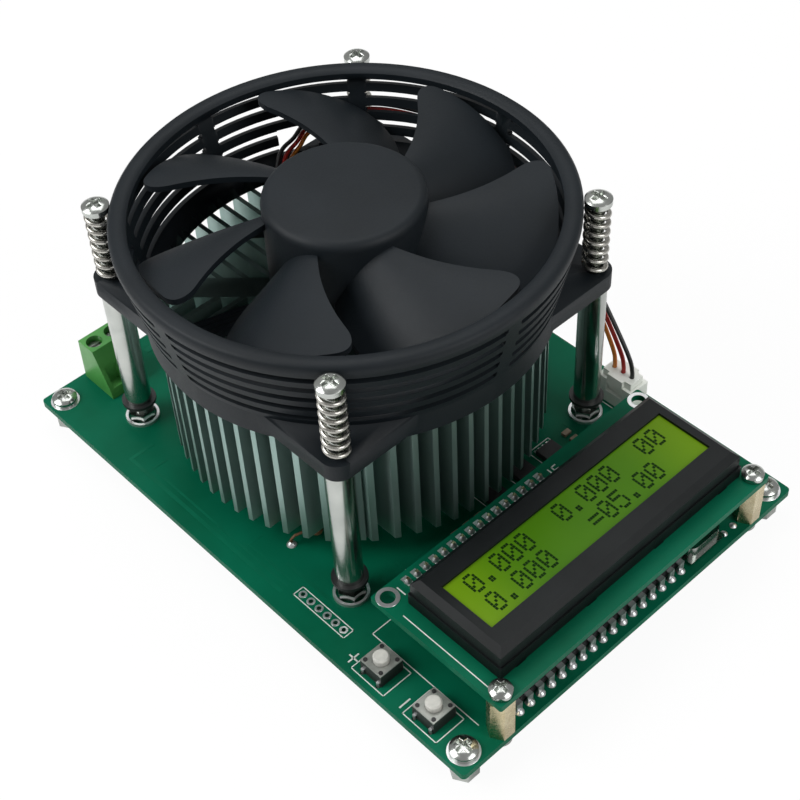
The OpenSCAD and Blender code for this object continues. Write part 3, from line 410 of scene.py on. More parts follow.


# %% [markdown]
# ## White print on the board
# The white outlines are silk-screen ink, a few hundredths of a millimetre thick. Each is a thin
# raised strip, drawn as narrow boxes, so the print also exists as mesh. The two
# switches carry a plus and a minus sign.

# %% Silk-screen print
INK = 0.04 * MM
LINE, SIGN_LINE, NUMBER_LINE = 0.22 * MM, 0.35 * MM, 0.3 * MM
SWITCH_FRAMES = [(-48.6, y - 4.7, -41.0, y + 4.7) for y in (-41.5, -56.4)]
SIGNS = ((-48.0, -35.4, -45.4, -35.4), (-46.7, -36.4, -46.7, -34.4), (-48.0, -50.4, -45.4, -50.4))
SPARE_FRAME = (-44.9, -30.4, -42.2, -14.8)
GUIDE_LINES = ((-40, -64, -40, -33.8), (-40, -33.8, -35, -33.8))
PLUG_FRAME = (41.2, -31.8, 48.6, -20.4)
CHIP_FRAMES = [(x - 3.2, y - 3.6, x + 3.2, y + 3.6)
               for x, y in ((21, -26), (12.5, -25.4), (3.4, -26))]
ink_finish = finish("white_ink", (0.60, 0.64, 0.60), (0.74, 0.78, 0.74), 0.6, cloud=700, bump=0.1)
ink_points, ink_faces = [], []


def stroke(x0, y0, x1, y1, z, width=LINE):
    low = (min(x0, x1) * MM - width / 2, min(y0, y1) * MM - width / 2, z)
    high = (max(x0, x1) * MM + width / 2, max(y0, y1) * MM + width / 2, z + INK)
    box_mesh(ink_points, ink_faces, low, high)


def outline(x0, y0, x1, y1, z):
    stroke(x0, y0, x1, y0, z)
    stroke(x0, y1, x1, y1, z)
    stroke(x0, y0, x0, y1, z)
    stroke(x1, y0, x1, y1, z)


for box in SWITCH_FRAMES:
    outline(*box, BOARD_TOP)
for bar in SIGNS:
    stroke(*bar, BOARD_TOP, SIGN_LINE)
outline(*SPARE_FRAME, BOARD_TOP)
for bar in GUIDE_LINES:
    stroke(*bar, BOARD_TOP)
outline(*PLUG_FRAME, BOARD_TOP)
for box in CHIP_FRAMES:
    outline(*box, BOARD_TOP)
add_piece("board_print", ink_points, ink_faces, ink_finish)
print("print strokes", len(ink_faces) // 6)

# %% [markdown]
# ## Two helpers for Geometry Nodes
# Screws, springs, pads and dots repeat, and wires follow a line, so they are made with Geometry
# Nodes. `new_group` opens a node group with named inputs. `bake` puts it on a start mesh, sets the
# inputs by their identifiers, lets Blender work it out once and keeps the result as a plain mesh,
# so that no modifier is left on the finished piece.

# %% Helpers: open a node group, bake it to a mesh
def new_group(name, inputs):
    tree = bpy.data.node_groups.new(name, "GeometryNodeTree")
    sockets = tree.interface
    sockets.new_socket("Geometry", in_out="INPUT", socket_type="NodeSocketGeometry")
    ids = {}
    for label, kind in inputs:
        socket = sockets.new_socket(label, in_out="INPUT", socket_type="NodeSocket" + kind)
        ids[label] = socket.identifier
    sockets.new_socket("Geometry", in_out="OUTPUT", socket_type="NodeSocketGeometry")
    return tree, ids, tree.nodes.new("NodeGroupInput"), tree.nodes.new("NodeGroupOutput")


def worked_out(thing):
    depsgraph = bpy.context.evaluated_depsgraph_get()
    return bpy.data.meshes.new_from_object(thing.evaluated_get(depsgraph))


def bake(name, start, group, values, body="load"):
    tree, ids = group
    holder = place(name + "_start", start)
    build = holder.modifiers.new("build", "NODES")
    build.node_group = tree
    for label, value in values.items():
        build[ids[label]] = value
    mesh = worked_out(holder)
    holder.modifiers.remove(build)
    bpy.data.objects.remove(holder)
    piece = place(name, mesh)
    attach(piece, body)
    print(name, len(mesh.polygons), "faces")
    return piece


def points_mesh(points, edges=()):
    mesh = bpy.data.meshes.new("start")
    mesh.from_pydata([tuple(p) for p in points], list(edges), [])
    return mesh


# %% [markdown]
# ## A group that repeats one piece
# Instance on Points sets a copy of the piece on every vertex of the start mesh. Realize Instances
# turns the copies into real faces and Set Material paints them.

# %% Node group: repeat a piece on points
repeat_tree, repeat_ids, entry, leave = new_group(
    "repeat_piece", (("Piece", "Object"), ("Finish", "Material")))
info = repeat_tree.nodes.new("GeometryNodeObjectInfo")
spread_out = repeat_tree.nodes.new("GeometryNodeInstanceOnPoints")
real = repeat_tree.nodes.new("GeometryNodeRealizeInstances")
dress = repeat_tree.nodes.new("GeometryNodeSetMaterial")
link(repeat_tree, entry.outputs["Geometry"], spread_out.inputs["Points"])
link(repeat_tree, entry.outputs["Piece"], info.inputs["Object"])
link(repeat_tree, info.outputs["Geometry"], spread_out.inputs["Instance"])
link(repeat_tree, spread_out.outputs["Instances"], real.inputs["Geometry"])
link(repeat_tree, real.outputs["Geometry"], dress.inputs["Geometry"])
link(repeat_tree, entry.outputs["Finish"], dress.inputs["Material"])
link(repeat_tree, dress.outputs["Geometry"], leave.inputs["Geometry"])


def repeat(name, unit, places, slot, material=None, smooth=True):
    mesh = solid_mesh(name + "_unit", *unit)
    mesh.polygons.foreach_set("use_smooth", [smooth] * len(mesh.polygons))
    if smooth:
        mesh.set_sharp_from_angle(angle=UNIT_CREASE)
    one = place(name + "_unit", mesh)
    spots = points_mesh([(x * MM, y * MM, z * MM) for x, y, z in places])
    piece = bake(name, spots, (repeat_tree, repeat_ids),
                 {"Piece": one, "Finish": material or FINISHES[slot]})
    bpy.data.objects.remove(one)
    return piece


def at_height(spots, z):
    return [(x, y, z) for x, y in spots]


# %% [markdown]
# ## Pan-head screws
# A screw head is a low dome with a cross recess. Its top is a polar grid: the height follows the
# dome, and drops where a point lies inside the cross. The walls of the recess lean, because the
# drop grows over a short distance.

# %% A screw as a unit mesh
HEAD_H, DOME_DROP, DOME_POWER = 2.0, 0.42, 2.8
CROSS_ARM, CROSS_HALF, CROSS_LEAN, CROSS_DEEP = 0.56, 0.15, 0.1, 1.0
SHANK_R = 1.5
SPOKES = 96
HEAD_RINGS = (0.05, 0.1, 0.15, 0.2, 0.26, 0.32, 0.38, 0.44, 0.5,
              0.54, 0.58, 0.63, 0.7, 0.78, 0.86, 0.93, 0.98, 1.0)


def screw_unit(head_r, shank, flip=False):
    arm, half, lean = CROSS_ARM * head_r, CROSS_HALF * head_r, CROSS_LEAN * head_r

    def top(x, y):
        r = math.hypot(x, y) / head_r
        dome = HEAD_H * (1 - DOME_DROP * r ** DOME_POWER)
        inside = max(min(arm - abs(x), half - abs(y)), min(arm - abs(y), half - abs(x)))
        return dome - CROSS_DEEP * min(max(inside / lean + 0.5, 0.0), 1.0)

    points, faces, rings = [(0, 0, top(0, 0))], [], []
    profile = [(head_r * u, None) for u in HEAD_RINGS]
    profile += [(head_r, 0.0), (SHANK_R, 0.0), (SHANK_R, -shank)]
    for r, z in profile:
        rings.append(list(range(len(points), len(points) + SPOKES)))
        for k in range(SPOKES):
            a = 2 * math.pi * k / SPOKES
            x, y = r * math.cos(a), r * math.sin(a)
            points.append((x, y, top(x, y) if z is None else z))
    points.append((0, 0, -shank))
    for k in range(SPOKES):
        m = (k + 1) % SPOKES
        faces.append((0, rings[0][k], rings[0][m]))
        faces.append((len(points) - 1, rings[-1][m], rings[-1][k]))
        for a, b in zip(rings, rings[1:]):
            faces.append((a[k], b[k], b[m], a[m]))
    way = -1 if flip else 1
    return [(x * MM, way * y * MM, way * z * MM) for x, y, z in points], faces


# %% Screws on the posts, at the corners and on the display
COOLER_Y, POST = 13.0, 36.0
CORNER_X, CORNER_Y = 46.0, 66.0
SCREW_R, BOARD_SCREW_END = 2.9, 3.0
SMALL_SCREW_R, SMALL_SHANK = 2.4, 5.6
DISPLAY_HOLE_X, SCREW_ROW_Y, HEADER_Y = 37.5, -67.5, -36.5
BOARD_UNDER = 5.0
DISPLAY_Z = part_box("display_board")[1].z / MM
HEAD_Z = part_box("spring_screws")[1].z / MM - HEAD_H
SCREW_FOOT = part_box("spring_screws")[0].z / MM
posts = [(sx * POST, COOLER_Y + sy * POST) for sx in (-1, 1) for sy in (-1, 1)]
corners = [(sx * CORNER_X, sy * CORNER_Y) for sx in (-1, 1) for sy in (-1, 1)]
display_ends = (-DISPLAY_HOLE_X, DISPLAY_HOLE_X)
screw_row = [(x, SCREW_ROW_Y) for x in display_ends]
screw = repeat("post_screws", screw_unit(SCREW_R, HEAD_Z - SCREW_FOOT),
               at_height(posts, HEAD_Z), "nickel_steel")
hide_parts("spring_screws")
screw = repeat("corner_screws", screw_unit(SCREW_R, BOARD_Z - BOARD_SCREW_END),
               at_height(corners, BOARD_Z), "nickel_steel")
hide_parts("board_screws")
upper = repeat("display_screws_top", screw_unit(SMALL_SCREW_R, SMALL_SHANK),
               at_height(screw_row, DISPLAY_Z), "nickel_steel")
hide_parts("display_screws")
repeat("display_screws_under", screw_unit(SMALL_SCREW_R, SMALL_SHANK, True),
       at_height(screw_row, BOARD_UNDER), "nickel_steel")

# %% [markdown]
# ## Springs under the screw heads
# The cooler is held down by four coil springs. A Spiral curve gives one coil, Curve to Mesh lays a
# round wire along it, and the same instancing sets it on the four posts.

# %% Node group: coil springs on points
WIRE_SIDES, COIL_STEPS = 14, 40
coil_inputs = (("Turns", "Float"), ("Radius", "Float"), ("Height", "Float"), ("Wire", "Float"),
               ("Finish", "Material"))
coil_tree, coil_ids, entry, leave = new_group("coil_spring", coil_inputs)
spiral = coil_tree.nodes.new("GeometryNodeCurveSpiral")
spiral.inputs["Resolution"].default_value = COIL_STEPS
round_wire = coil_tree.nodes.new("GeometryNodeCurvePrimitiveCircle")
round_wire.inputs["Resolution"].default_value = WIRE_SIDES
wound = coil_tree.nodes.new("GeometryNodeCurveToMesh")
wound.inputs["Fill Caps"].default_value = True
soft = coil_tree.nodes.new("GeometryNodeSetShadeSmooth")
spread_out = coil_tree.nodes.new("GeometryNodeInstanceOnPoints")
real = coil_tree.nodes.new("GeometryNodeRealizeInstances")
dress = coil_tree.nodes.new("GeometryNodeSetMaterial")
link(coil_tree, entry.outputs["Turns"], spiral.inputs["Rotations"])
link(coil_tree, entry.outputs["Radius"], spiral.inputs["Start Radius"])
link(coil_tree, entry.outputs["Radius"], spiral.inputs["End Radius"])
link(coil_tree, entry.outputs["Height"], spiral.inputs["Height"])
link(coil_tree, entry.outputs["Wire"], round_wire.inputs["Radius"])
link(coil_tree, spiral.outputs["Curve"], wound.inputs["Curve"])
link(coil_tree, round_wire.outputs["Curve"], wound.inputs["Profile Curve"])
link(coil_tree, wound.outputs["Mesh"], soft.inputs["Geometry"])
link(coil_tree, soft.outputs["Geometry"], spread_out.inputs["Instance"])
link(coil_tree, entry.outputs["Geometry"], spread_out.inputs["Points"])
link(coil_tree, spread_out.outputs["Instances"], real.inputs["Geometry"])
link(coil_tree, real.outputs["Geometry"], dress.inputs["Geometry"])
link(coil_tree, entry.outputs["Finish"], dress.inputs["Material"])
link(coil_tree, dress.outputs["Geometry"], leave.inputs["Geometry"])

# %% Four springs
FLANGE_Z = 50.3
TURNS, WIRE, COIL_PLAY, FOOT_PLAY = 7.0, 0.55, 0.05, 0.02
spring_foot = [(x * MM, y * MM, (FLANGE_Z + WIRE + FOOT_PLAY) * MM) for x, y in posts]
springs = bake("post_springs", points_mesh(spring_foot), (coil_tree, coil_ids),
               {"Turns": TURNS, "Radius": (SCREW_R - WIRE - COIL_PLAY) * MM,
                "Height": (HEAD_Z - FLANGE_Z - 2 * WIRE - COIL_PLAY) * MM,
                "Wire": WIRE * MM, "Finish": FINISHES["spring_steel"]})
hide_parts("clamp_springs")

# %% [markdown]
# ## Tinned pads and solder
# Bare copper on a board is tinned. Flat rings lie round the screw holes and the empty holes, and
# every soldered pin has a small bright cone of solder around it.

# %% Units: a flat ring and a cone of solder
PAD_H, PAD_BEVEL, RING_SIDES, CONE_SIDES = 0.05, 0.05, 40, 20
CONE = ((1, 0), (0.92, 0.2), (0.7, 0.52), (0.42, 0.84), (0.2, 0.97), (0, 1))


def ring_unit(inner, outer, thick=PAD_H):
    profile = [(inner, 0), (outer, 0), (outer - PAD_BEVEL, thick), (inner, thick), (inner, 0)]
    points, faces = lathe(profile, RING_SIDES)
    return [tuple(c * MM for c in p) for p in points], faces


def cone_unit(radius, height):
    points, faces = lathe([(radius * r, height * z) for r, z in CONE], CONE_SIDES)
    return [tuple(c * MM for c in p) for p in points], faces


# %% Pads, rings and solder cones
PIN_PITCH = 2.54
CHIP_X, CHIP_Y, CHIP_ROW, CHIP_PINS, CHIP_PITCH = -8.0, -59.8, 7.62, 17, 3.02
HEADER_X, HEADER_PINS, HEADER_PAD_Y = -32, 16, -36.3
SPARE_X, SPARE_Y, SPARE_HOLES = -43.5, -16.2, 6
SENSOR_LEG = (-36.5, -4.5)
CRYSTAL_LEGS = ((30.2, -67.5), (33.3, -67.5))
SHUNT_INSET = 0.75 * MM
chip_x = [CHIP_X + (i - CHIP_PINS // 2) * CHIP_PITCH for i in range(CHIP_PINS)]
chip_rows = [(x, CHIP_Y + s * CHIP_ROW) for x in chip_x for s in (-1, 1)]
header_x = [HEADER_X + PIN_PITCH * i for i in range(HEADER_PINS)]
header_row = [(x, HEADER_Y) for x in header_x]
spare_row = [(SPARE_X, SPARE_Y - PIN_PITCH * i) for i in range(SPARE_HOLES)]
empty_holes = [(x, HEADER_Y) for x in display_ends]
shunt_low, shunt_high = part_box("shunt_wire")
shunt_x = (shunt_low.x + shunt_high.x) / 2 / MM
shunt_ends = [(shunt_x, y / MM) for y in (shunt_low.y + SHUNT_INSET, shunt_high.y - SHUNT_INSET)]
TINNED = (("corner_pads", ring_unit(1.7, 3.4), corners, BOARD_Z),
          ("spare_pads", ring_unit(0.5, 0.95), spare_row, BOARD_Z),
          ("display_pads", ring_unit(1.6, 2.5), empty_holes, DISPLAY_Z),
          ("chip_solder", cone_unit(1.05, 0.75), chip_rows, BOARD_Z),
          ("header_solder", cone_unit(0.85, 1.15), header_row, DISPLAY_Z),
          ("post_rings", ring_unit(3.3, 3.95, 0.7), posts, BOARD_Z),
          ("shunt_solder", cone_unit(1.5, 0.9), shunt_ends, BOARD_Z),
          ("sensor_solder", cone_unit(1.15, 0.95), [SENSOR_LEG], BOARD_Z),
          ("crystal_solder", cone_unit(0.85, 0.5), CRYSTAL_LEGS, BOARD_Z))
for name, unit, spots, z in TINNED:
    repeat(name, unit, at_height(spots, z), "solder_tin")

# %% Long pads under the display header
PAD_HALF_X, PAD_HALF_Y = 0.72, 1.2
pad_points, pad_faces = [], []
box_mesh(pad_points, pad_faces, (-PAD_HALF_X * MM, -PAD_HALF_Y * MM, 0),
         (PAD_HALF_X * MM, PAD_HALF_Y * MM, PAD_H * MM))
repeat("header_pads", (pad_points, pad_faces), [(x, HEADER_PAD_Y, DISPLAY_Z) for x in header_x],
       "solder_tin", smooth=False)

# %% [markdown]
# ## Print on the display board
# A line beside the bezel and the numbers of the first and the last contact, in strokes like the
# other print.

# %% Print on the display board
BEZEL_LINE = (-38.4, -65, -38.4, -42)
NUMBER_BARS = ((-34.6, -38.4, -34.6, -36.2), (8.9, -38.4, 8.9, -36.2), (9.9, -38.4, 9.9, -36.2),
               (9.9, -38.4, 11.0, -38.4), (11.0, -38.4, 11.0, -37.3), (9.9, -37.3, 11.0, -37.3),
               (9.9, -36.2, 11.0, -36.2))
ink_points.clear()
ink_faces.clear()
stroke(*BEZEL_LINE, DISPLAY_Z * MM)
for bar in NUMBER_BARS:
    stroke(*bar, DISPLAY_Z * MM, NUMBER_LINE)
add_piece("display_print", ink_points, ink_faces, ink_finish)

# %% [markdown]
# ## Copper under the solder mask
# Tracks show through the lacquer as slightly raised, lighter green lines, and plated holes join
# the two sides. Each track is a hair higher than the one before, so that no two faces share a
# plane where tracks cross.

# %% Tracks and plated holes
TRACKS = ((-46.2, -12, -46.2, 40, 0.9), (-44.4, -12, -44.4, 34, 0.5), (-42.9, -12, -42.9, 2, 0.5),
          (-42.9, 2, -39.2, 2, 0.5), (-44.4, 34, -40.5, 34, 0.5), (-46.2, 40, -40.4, 40, 0.9),
          (-24, -31.5, 16, -31.5, 0.5), (-24, -30, 2, -30, 0.5), (-24, -33, 30, -33, 0.7),
          (-24, -30, -24, -24, 0.5), (-29, -31.5, -29, -25, 0.5), (-40.5, -24, -40.5, -8, 0.8),
          (30, -33, 30, -22, 0.7), (33, -30, 33, -20, 0.5), (-22, 62, 34, 62, 1.6),
          (-22, 65.5, 38, 65.5, 1.6), (38, 56, 38, 65.5, 1.6))
TRACK_H, TRACK_STEP = 0.03 * MM, 0.002 * MM
VIAS = ((-24, -27), (-29, -28), (-15, -31.5), (-6, -30), (30, -28), (33, -24), (38, 60), (10, 62),
        (-10, 65.5))
VIA_LIFT = 0.07
track_finish = finish("masked_copper", (0.0008, 0.100, 0.050), (0.0018, 0.140, 0.073), 0.4,
                      cloud=80, grain=2600, bump=0.03, specular=0.1)
track_points, track_faces = [], []
for number, (x0, y0, x1, y1, width) in enumerate(TRACKS):
    half, top = width * MM / 2, BOARD_TOP + (TRACK_H + number * TRACK_STEP)
    box_mesh(track_points, track_faces,
             (min(x0, x1) * MM - half, min(y0, y1) * MM - half, BOARD_TOP),
             (max(x0, x1) * MM + half, max(y0, y1) * MM + half, top))
add_piece("board_tracks", track_points, track_faces, track_finish)
repeat("plated_holes", ring_unit(0.16, 0.38), at_height(VIAS, BOARD_Z + VIA_LIFT), "solder_tin")

# %% [markdown]
# ## Characters on the display
# The display is a matrix of small dots. A character is five dots wide and seven high. The digits
# are written as rows of a tiny font, every lit dot becomes a vertex, and the repeat group sets a
# flat square on it. It shows plain numbers.

# %% Dot-matrix numbers
FONT = {
    "0": ("01110", "10001", "10011", "10101", "11001", "10001", "01110"),
    "5": ("11111", "10000", "11110", "00001", "00001", "10001", "01110"),
    ".": ("00000", "00000", "00000", "00000", "00000", "01100", "01100"),
    "=": ("00000", "00000", "11111", "00000", "11111", "00000", "00000"),
}
LINES = ("0.000  0.000  00", "0.000   =05.00  ")
DOT_X, DOT_Y, CELL_X, CELL_Y, DISPLAY_Y = 0.6, 0.7, 3.55, 5.95, -53
MIDDLE_COL, MIDDLE_ROW, MIDDLE_I, MIDDLE_J = 7.5, 0.5, 2, 3.5
DOT_HALF_X, DOT_HALF_Y, DOT_H = 0.26, 0.31, 0.03
GLASS_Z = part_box("display_glass")[1].z / MM
lit_dots = []
for row, line in enumerate(LINES):
    for col, sign in enumerate(line):
        for j, bits in enumerate(FONT.get(sign, ())):
            for i, bit in enumerate(bits):
                if bit == "1":
                    x = (col - MIDDLE_COL) * CELL_X + (i - MIDDLE_I) * DOT_X
                    y = DISPLAY_Y + (MIDDLE_ROW - row) * CELL_Y + (MIDDLE_J - j) * DOT_Y
                    lit_dots.append((x, y, GLASS_Z))
dot_points, dot_faces = [], []
box_mesh(dot_points, dot_faces, (-DOT_HALF_X * MM, -DOT_HALF_Y * MM, 0),
         (DOT_HALF_X * MM, DOT_HALF_Y * MM, DOT_H * MM))
dot_finish = finish("dark_segments", (0.004, 0.018, 0.002), (0.007, 0.026, 0.003), 0.5,
                    cloud=300, bump=0.0, specular=0.05)
repeat("display_dots", (dot_points, dot_faces), lit_dots, "lcd_glass", dot_finish, smooth=False)

# %% [markdown]
# ## Two solids made one
# The ring and the rotor below are each worked out by a Boolean from two closed solids. The result
# is welded and smoothed, and it keeps its sharp edges.

# %% Helpers: a Boolean, a point round the cooler's axis
JOIN_WELD = 2e-6


def combined(name, first, second, operation, slot, body):
    join = first.modifiers.new("join", "BOOLEAN")
    join.operation, join.solver, join.object = operation, "EXACT", second
    mesh = worked_out(first)
    bpy.data.objects.remove(first)
    bpy.data.objects.remove(second)
    build = bmesh.new()
    build.from_mesh(mesh)
    bmesh.ops.remove_doubles(build, verts=build.verts, dist=JOIN_WELD)
    bmesh.ops.dissolve_degenerate(build, edges=build.edges, dist=JOIN_WELD)
    print(name, "open edges", sum(not e.is_manifold for e in build.edges))
    build.to_mesh(mesh)
    build.free()
    mesh.materials.clear()
    mesh.materials.append(FINISHES[slot])
    mesh.polygons.foreach_set("material_index", [0] * len(mesh.polygons))
    mesh.polygons.foreach_set("use_smooth", [True] * len(mesh.polygons))
    mesh.set_sharp_from_angle(angle=CREASE)
    piece = place(name, mesh)
    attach(piece, body)
    print(name, len(mesh.polygons), "faces")
    return piece


def round_cooler(r, a, z):
    return r * math.cos(a) * MM, (COOLER_Y + r * math.sin(a)) * MM, z * MM


# %% [markdown]
# ## Slots of the fan ring
# From inside, the slots of a moulded ring let light through, because their edges lean outwards and
# down so that the mould can open. The ring's mesh is copied, a Boolean cuts the leaning edges with
# forty wedges, one for each slot between two ribs, and the copy replaces the plain ring.

# %% Wedges that cut the slots
RING_FOOT, RING_TOP_R, RING_H = 44.0, 47.9, 19.5
SLOT_MIDDLE, SLOT_PITCH, SLOT_H, SLOT_ROWS = 2.3, 3.35, 1.5, 5
RIBS, RIB_HALF, LEAN = 8, 2.6, 0.42
CUT_IN, CUT_OUT, ARC = 2.6, 0.6, 10


def ring_at(z):
    return RING_FOOT + (RING_TOP_R - RING_FOOT) * (z - FLANGE_Z) / RING_H


cut_points, cut_faces = [], []
for row in range(SLOT_ROWS):
    middle = FLANGE_Z + SLOT_MIDDLE + row * SLOT_PITCH
    outer_r, inner_r = ring_at(middle) + CUT_OUT, ring_at(middle) - CUT_IN
    section_rz = ((inner_r, middle + LEAN - SLOT_H / 2), (outer_r, middle - LEAN - SLOT_H / 2),
                  (outer_r, middle - LEAN + SLOT_H / 2), (inner_r, middle + LEAN + SLOT_H / 2))
    for rib in range(RIBS):
        start, stop = 360 / RIBS * rib + RIB_HALF, 360 / RIBS * (rib + 1) - RIB_HALF
        base = len(cut_points)
        for n in range(ARC + 1):
            a = math.radians(start + (stop - start) * n / ARC)
            cut_points += [round_cooler(r, a, z) for r, z in section_rz]
        for n in range(ARC):
            k = base + 4 * n
            cut_faces += [(k + i, k + (i + 1) % 4, k + 4 + (i + 1) % 4, k + 4 + i)
                          for i in range(4)]
        cut_faces += [(base + 3, base + 2, base + 1, base),
                      tuple(base + 4 * ARC + i for i in range(4))]
cutter = place("slot_cutter", solid_mesh("slot_cutter", cut_points, cut_faces))

# %% Cut a copy of the ring
ring_mesh = nodes["fan_frame"].data.copy()
build = bmesh.new()
build.from_mesh(ring_mesh)
bmesh.ops.remove_doubles(build, verts=build.verts, dist=WELD)
build.to_mesh(ring_mesh)
build.free()
ring_copy = place("ring_copy", ring_mesh)
fan_ring = combined("fan_ring", ring_copy, cutter, "DIFFERENCE", "fan_black", "load")
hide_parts("fan_frame")

# %% [markdown]
# ## The rotor
# The construction's blades have few rows, so their tips look clipped. Here each blade is lofted in
# fine rows between the same hub, tip and heights. It stays high for longer behind its leading edge
# and has round corners. A Boolean joins the seven blades to the hub.

# %% Profile of the hub
HUB_R, HUB_IN, HUB_LOW, HUB_TOP, HUB_CAP, HUB_ROUND = 17.0, 15.4, 50.3, 72.0, 2.6, 2.0
SHAFT_R, SHAFT_COVER, HUB_SIDES, ROUND_STEPS = 1.5, 1.2, 96, 6
hub_profile = [(0, HUB_TOP - SHAFT_COVER), (SHAFT_R, HUB_TOP - SHAFT_COVER),
               (SHAFT_R, HUB_TOP - HUB_CAP), (HUB_IN, HUB_TOP - HUB_CAP),
               (HUB_IN, HUB_LOW), (HUB_R, HUB_LOW)]
for n in range(ROUND_STEPS + 1):
    a = math.radians(90 * n / ROUND_STEPS)
    hub_profile.append((HUB_R - HUB_ROUND * (1 - math.cos(a)),
                        HUB_TOP - HUB_ROUND * (1 - math.sin(a))))
hub_profile.append((0, HUB_TOP))

# %% Points of a blade
TIP_R, ROOT_IN, BLADE_LOW, BLADE_HIGH, BLADE_T = 43.0, 0.8, 55.7, 68.4, 1.4
BLADES, BLADE_SWEEP, BLADE_SPAN, BLADE_PHASE = 7, 25.0, 43.0, -151.5
BLADE_BEND, BLADE_CURL = 0.85, 2.0
LEAD_CUT, LEAD_FROM, TAIL_CUT, TAIL_FROM = 8.0, 0.76, 10.0, 0.66
BLADE_ROWS, BLADE_COLS = 26, 18


def corner(u, start, cut):
    t = max(0.0, (u - start) / (1 - start))
    return cut * (1 - math.sqrt(max(0.0, 1 - t * t)))


def blade_point(row, col, face, phase):
    u = math.sin(math.pi / 2 * row / BLADE_ROWS)
    lead = BLADE_SWEEP * u ** BLADE_BEND
    low = lead - BLADE_SPAN + corner(u, TAIL_FROM, TAIL_CUT)
    high = lead - corner(u, LEAD_FROM, LEAD_CUT)
    angle = low + (high - low) * col / BLADE_COLS
    across = (angle - lead + BLADE_SPAN) / BLADE_SPAN
    rise = 1 - (1 - across) ** BLADE_CURL
    z = BLADE_LOW + (BLADE_HIGH - BLADE_LOW) * rise + face * BLADE_T / 2
    r = HUB_R - ROOT_IN + u * (TIP_R - HUB_R + ROOT_IN)
    return round_cooler(r, math.radians(angle + phase), z)


# %% Seven blades on the hub
WIDE = BLADE_COLS + 1
HALF = (BLADE_ROWS + 1) * WIDE
border = list(range(WIDE)) + [i * WIDE + BLADE_COLS for i in range(1, BLADE_ROWS + 1)]
border += [BLADE_ROWS * WIDE + j for j in range(BLADE_COLS - 1, -1, -1)]
border += [i * WIDE for i in range(BLADE_ROWS - 1, 0, -1)]
blade_points, blade_faces = [], []
for k in range(BLADES):
    base = len(blade_points)
    blade_points += [blade_point(i, j, face, BLADE_PHASE + 360 / BLADES * k)
                     for face in (1, -1) for i in range(BLADE_ROWS + 1) for j in range(WIDE)]
    for i in range(BLADE_ROWS):
        for j in range(BLADE_COLS):
            a = base + i * WIDE + j
            quad = (a, a + 1, a + 1 + WIDE, a + WIDE)
            blade_faces += [quad, tuple(HALF + v for v in reversed(quad))]
    for a, b in zip(border, border[1:] + border[:1]):
        blade_faces.append((base + b, base + a, base + HALF + a, base + HALF + b))
hub_points, hub_faces = lathe(hub_profile, HUB_SIDES)
hub_points = [(x * MM, (y + COOLER_Y) * MM, z * MM) for x, y, z in hub_points]
hub = place("hub", solid_mesh("hub", hub_points, hub_faces))
blades = place("blades", solid_mesh("blades", blade_points, blade_faces))
fan_blades = combined("fan_blades", hub, blades, "UNION", "fan_black", "rotor")
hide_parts("fan_rotor")

# %% [markdown]
# ## The fan's lead
# Three thin wires leave the motor on a strut, slip out through a notch in the ring, lie round its
# outside and drop to the plug. The route repeats the points of the construction. A Catmull-Rom
# curve runs smoothly through them.

# %% Node group: a round wire along a line
wire_tree, wire_ids, entry, leave = new_group(
    "round_wire", (("Radius", "Float"), ("Finish", "Material")))
as_curve = wire_tree.nodes.new("GeometryNodeMeshToCurve")
section = wire_tree.nodes.new("GeometryNodeCurvePrimitiveCircle")
section.inputs["Resolution"].default_value = WIRE_SIDES
tube = wire_tree.nodes.new("GeometryNodeCurveToMesh")
tube.inputs["Fill Caps"].default_value = True
soft = wire_tree.nodes.new("GeometryNodeSetShadeSmooth")
real = wire_tree.nodes.new("GeometryNodeRealizeInstances")
dress = wire_tree.nodes.new("GeometryNodeSetMaterial")
link(wire_tree, entry.outputs["Geometry"], as_curve.inputs["Mesh"])
link(wire_tree, as_curve.outputs["Curve"], tube.inputs["Curve"])
link(wire_tree, entry.outputs["Radius"], section.inputs["Radius"])
link(wire_tree, section.outputs["Curve"], tube.inputs["Profile Curve"])
link(wire_tree, tube.outputs["Mesh"], soft.inputs["Geometry"])
link(wire_tree, soft.outputs["Geometry"], real.inputs["Geometry"])
link(wire_tree, real.outputs["Geometry"], dress.inputs["Geometry"])
link(wire_tree, entry.outputs["Finish"], dress.inputs["Material"])
link(wire_tree, dress.outputs["Geometry"], leave.inputs["Geometry"])

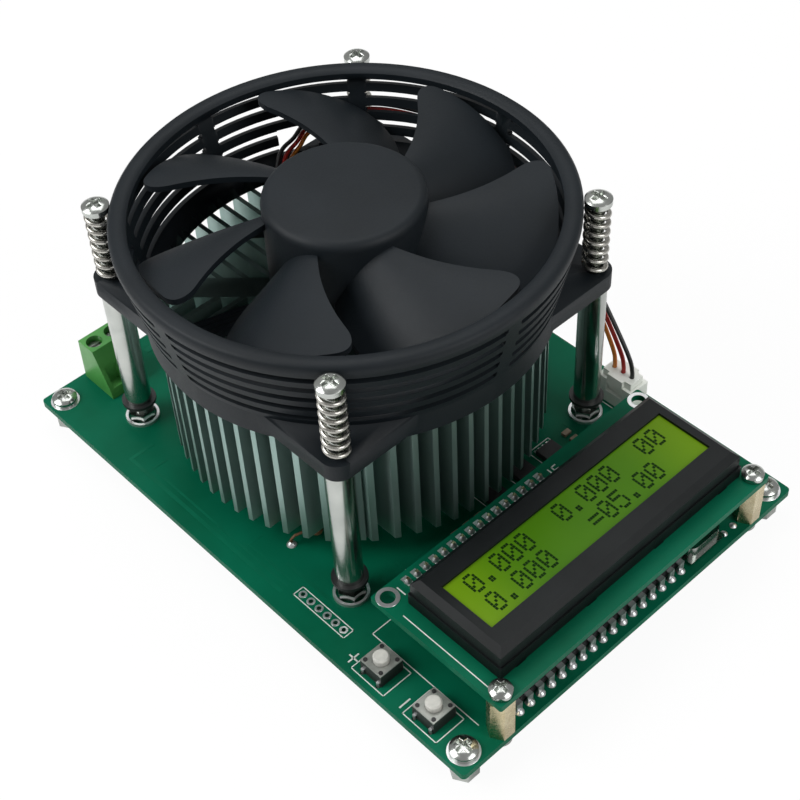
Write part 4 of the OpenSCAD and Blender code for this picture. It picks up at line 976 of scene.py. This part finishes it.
# %% Route of each wire
STRUT = math.radians(72)
MOTOR_TOP = 48.7
PITCH, LEAD_R, LEAD_LIFT, LEAD_PLAY = 1.2, 0.5, 0.05, 0.4
PLUG_X, PLUG_Y, PLUG_H = 44.8, -26.0, 7.6
ON_STRUT = ((12.2, 1.7), (13.6, 1.55), (15, 0.2), (18, 0), (26, 0), (34, 0))
STRUT_END_R, STRUT_END_RISE, STRUT_END_SPREAD = 37.4, 0.9, 1.2
IN_NOTCH, NOTCH_SQUEEZE = ((68.5, -3.4, 1.75, 0.9), (64, -1.2, 2.7, 0.5)), 0.95
ON_RING = ((59.5, 4.5, 0.2), (51, 6.5, 0), (41, 7.7, 0), (30, 7.1, 0), (18, 5.9, 0), (7, 4.7, 0),
           (-4, 3.5, 0))
TO_PLUG = ((0.3, 24, 36.4, 0.75, 0.8), (0.6, 19.5, 30.8, 0.85, 0.6), (0.6, 12.5, 21.8, 1.1, 0.5),
           (0.3, 5.5, 12.8, 1.5, 0.4), (0, 1, 6.3, 1.95, 0.2), (0, 0, 2.8, 2.117, 0),
           (0, 0, 0, 2.117, 0))


def strut_point(r, z, k):
    return (r * math.cos(STRUT) - k * math.sin(STRUT),
            COOLER_Y + r * math.sin(STRUT) + k * math.cos(STRUT), z)


def ring_point(angle, out, z, aside, k):
    a, r = math.radians(angle), ring_at(z + k) + out
    return (r * math.cos(a) - aside * k * math.sin(a),
            COOLER_Y + r * math.sin(a) + aside * k * math.cos(a), z + k)


def lead_route(side):
    k, lie, hug = side * PITCH, MOTOR_TOP + LEAD_R + LEAD_LIFT, LEAD_R + LEAD_PLAY
    route = [strut_point(r, lie + z, k) for r, z in ON_STRUT]
    route.append(strut_point(STRUT_END_R, lie + STRUT_END_RISE, STRUT_END_SPREAD * k))
    route += [ring_point(a, out, FLANGE_Z + z, aside, NOTCH_SQUEEZE * k)
              for a, out, z, aside in IN_NOTCH]
    route += [ring_point(a, hug, FLANGE_Z + z, aside, k) for a, z, aside in ON_RING]
    route += [(PLUG_X + x, PLUG_Y + y - back_k * k, BOARD_Z + PLUG_H + z + up_k * k)
              for x, y, z, back_k, up_k in TO_PLUG]
    return [Vector(p) * MM for p in route]


def smooth_line(route, steps=6):
    line = []
    for i in range(len(route) - 1):
        a, b = route[max(i - 1, 0)], route[i]
        c, d = route[i + 1], route[min(i + 2, len(route) - 1)]
        for n in range(steps):
            u = n / steps
            line.append(0.5 * (2 * b + (c - a) * u + (2 * a - 5 * b + 4 * c - d) * u ** 2
                               + (3 * b - a - 3 * c + d) * u ** 3))
    return line + [route[-1]]


# %% Three wires
for side, colour in ((-1, "yellow"), (0, "red"), (1, "black")):
    line = smooth_line(lead_route(side))
    path_mesh = points_mesh(line, [(i, i + 1) for i in range(len(line) - 1)])
    wire = bake("lead_" + colour, path_mesh, (wire_tree, wire_ids),
                {"Radius": LEAD_R * MM, "Finish": FINISHES["wire_" + colour]})
    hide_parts("fan_wire_" + colour)
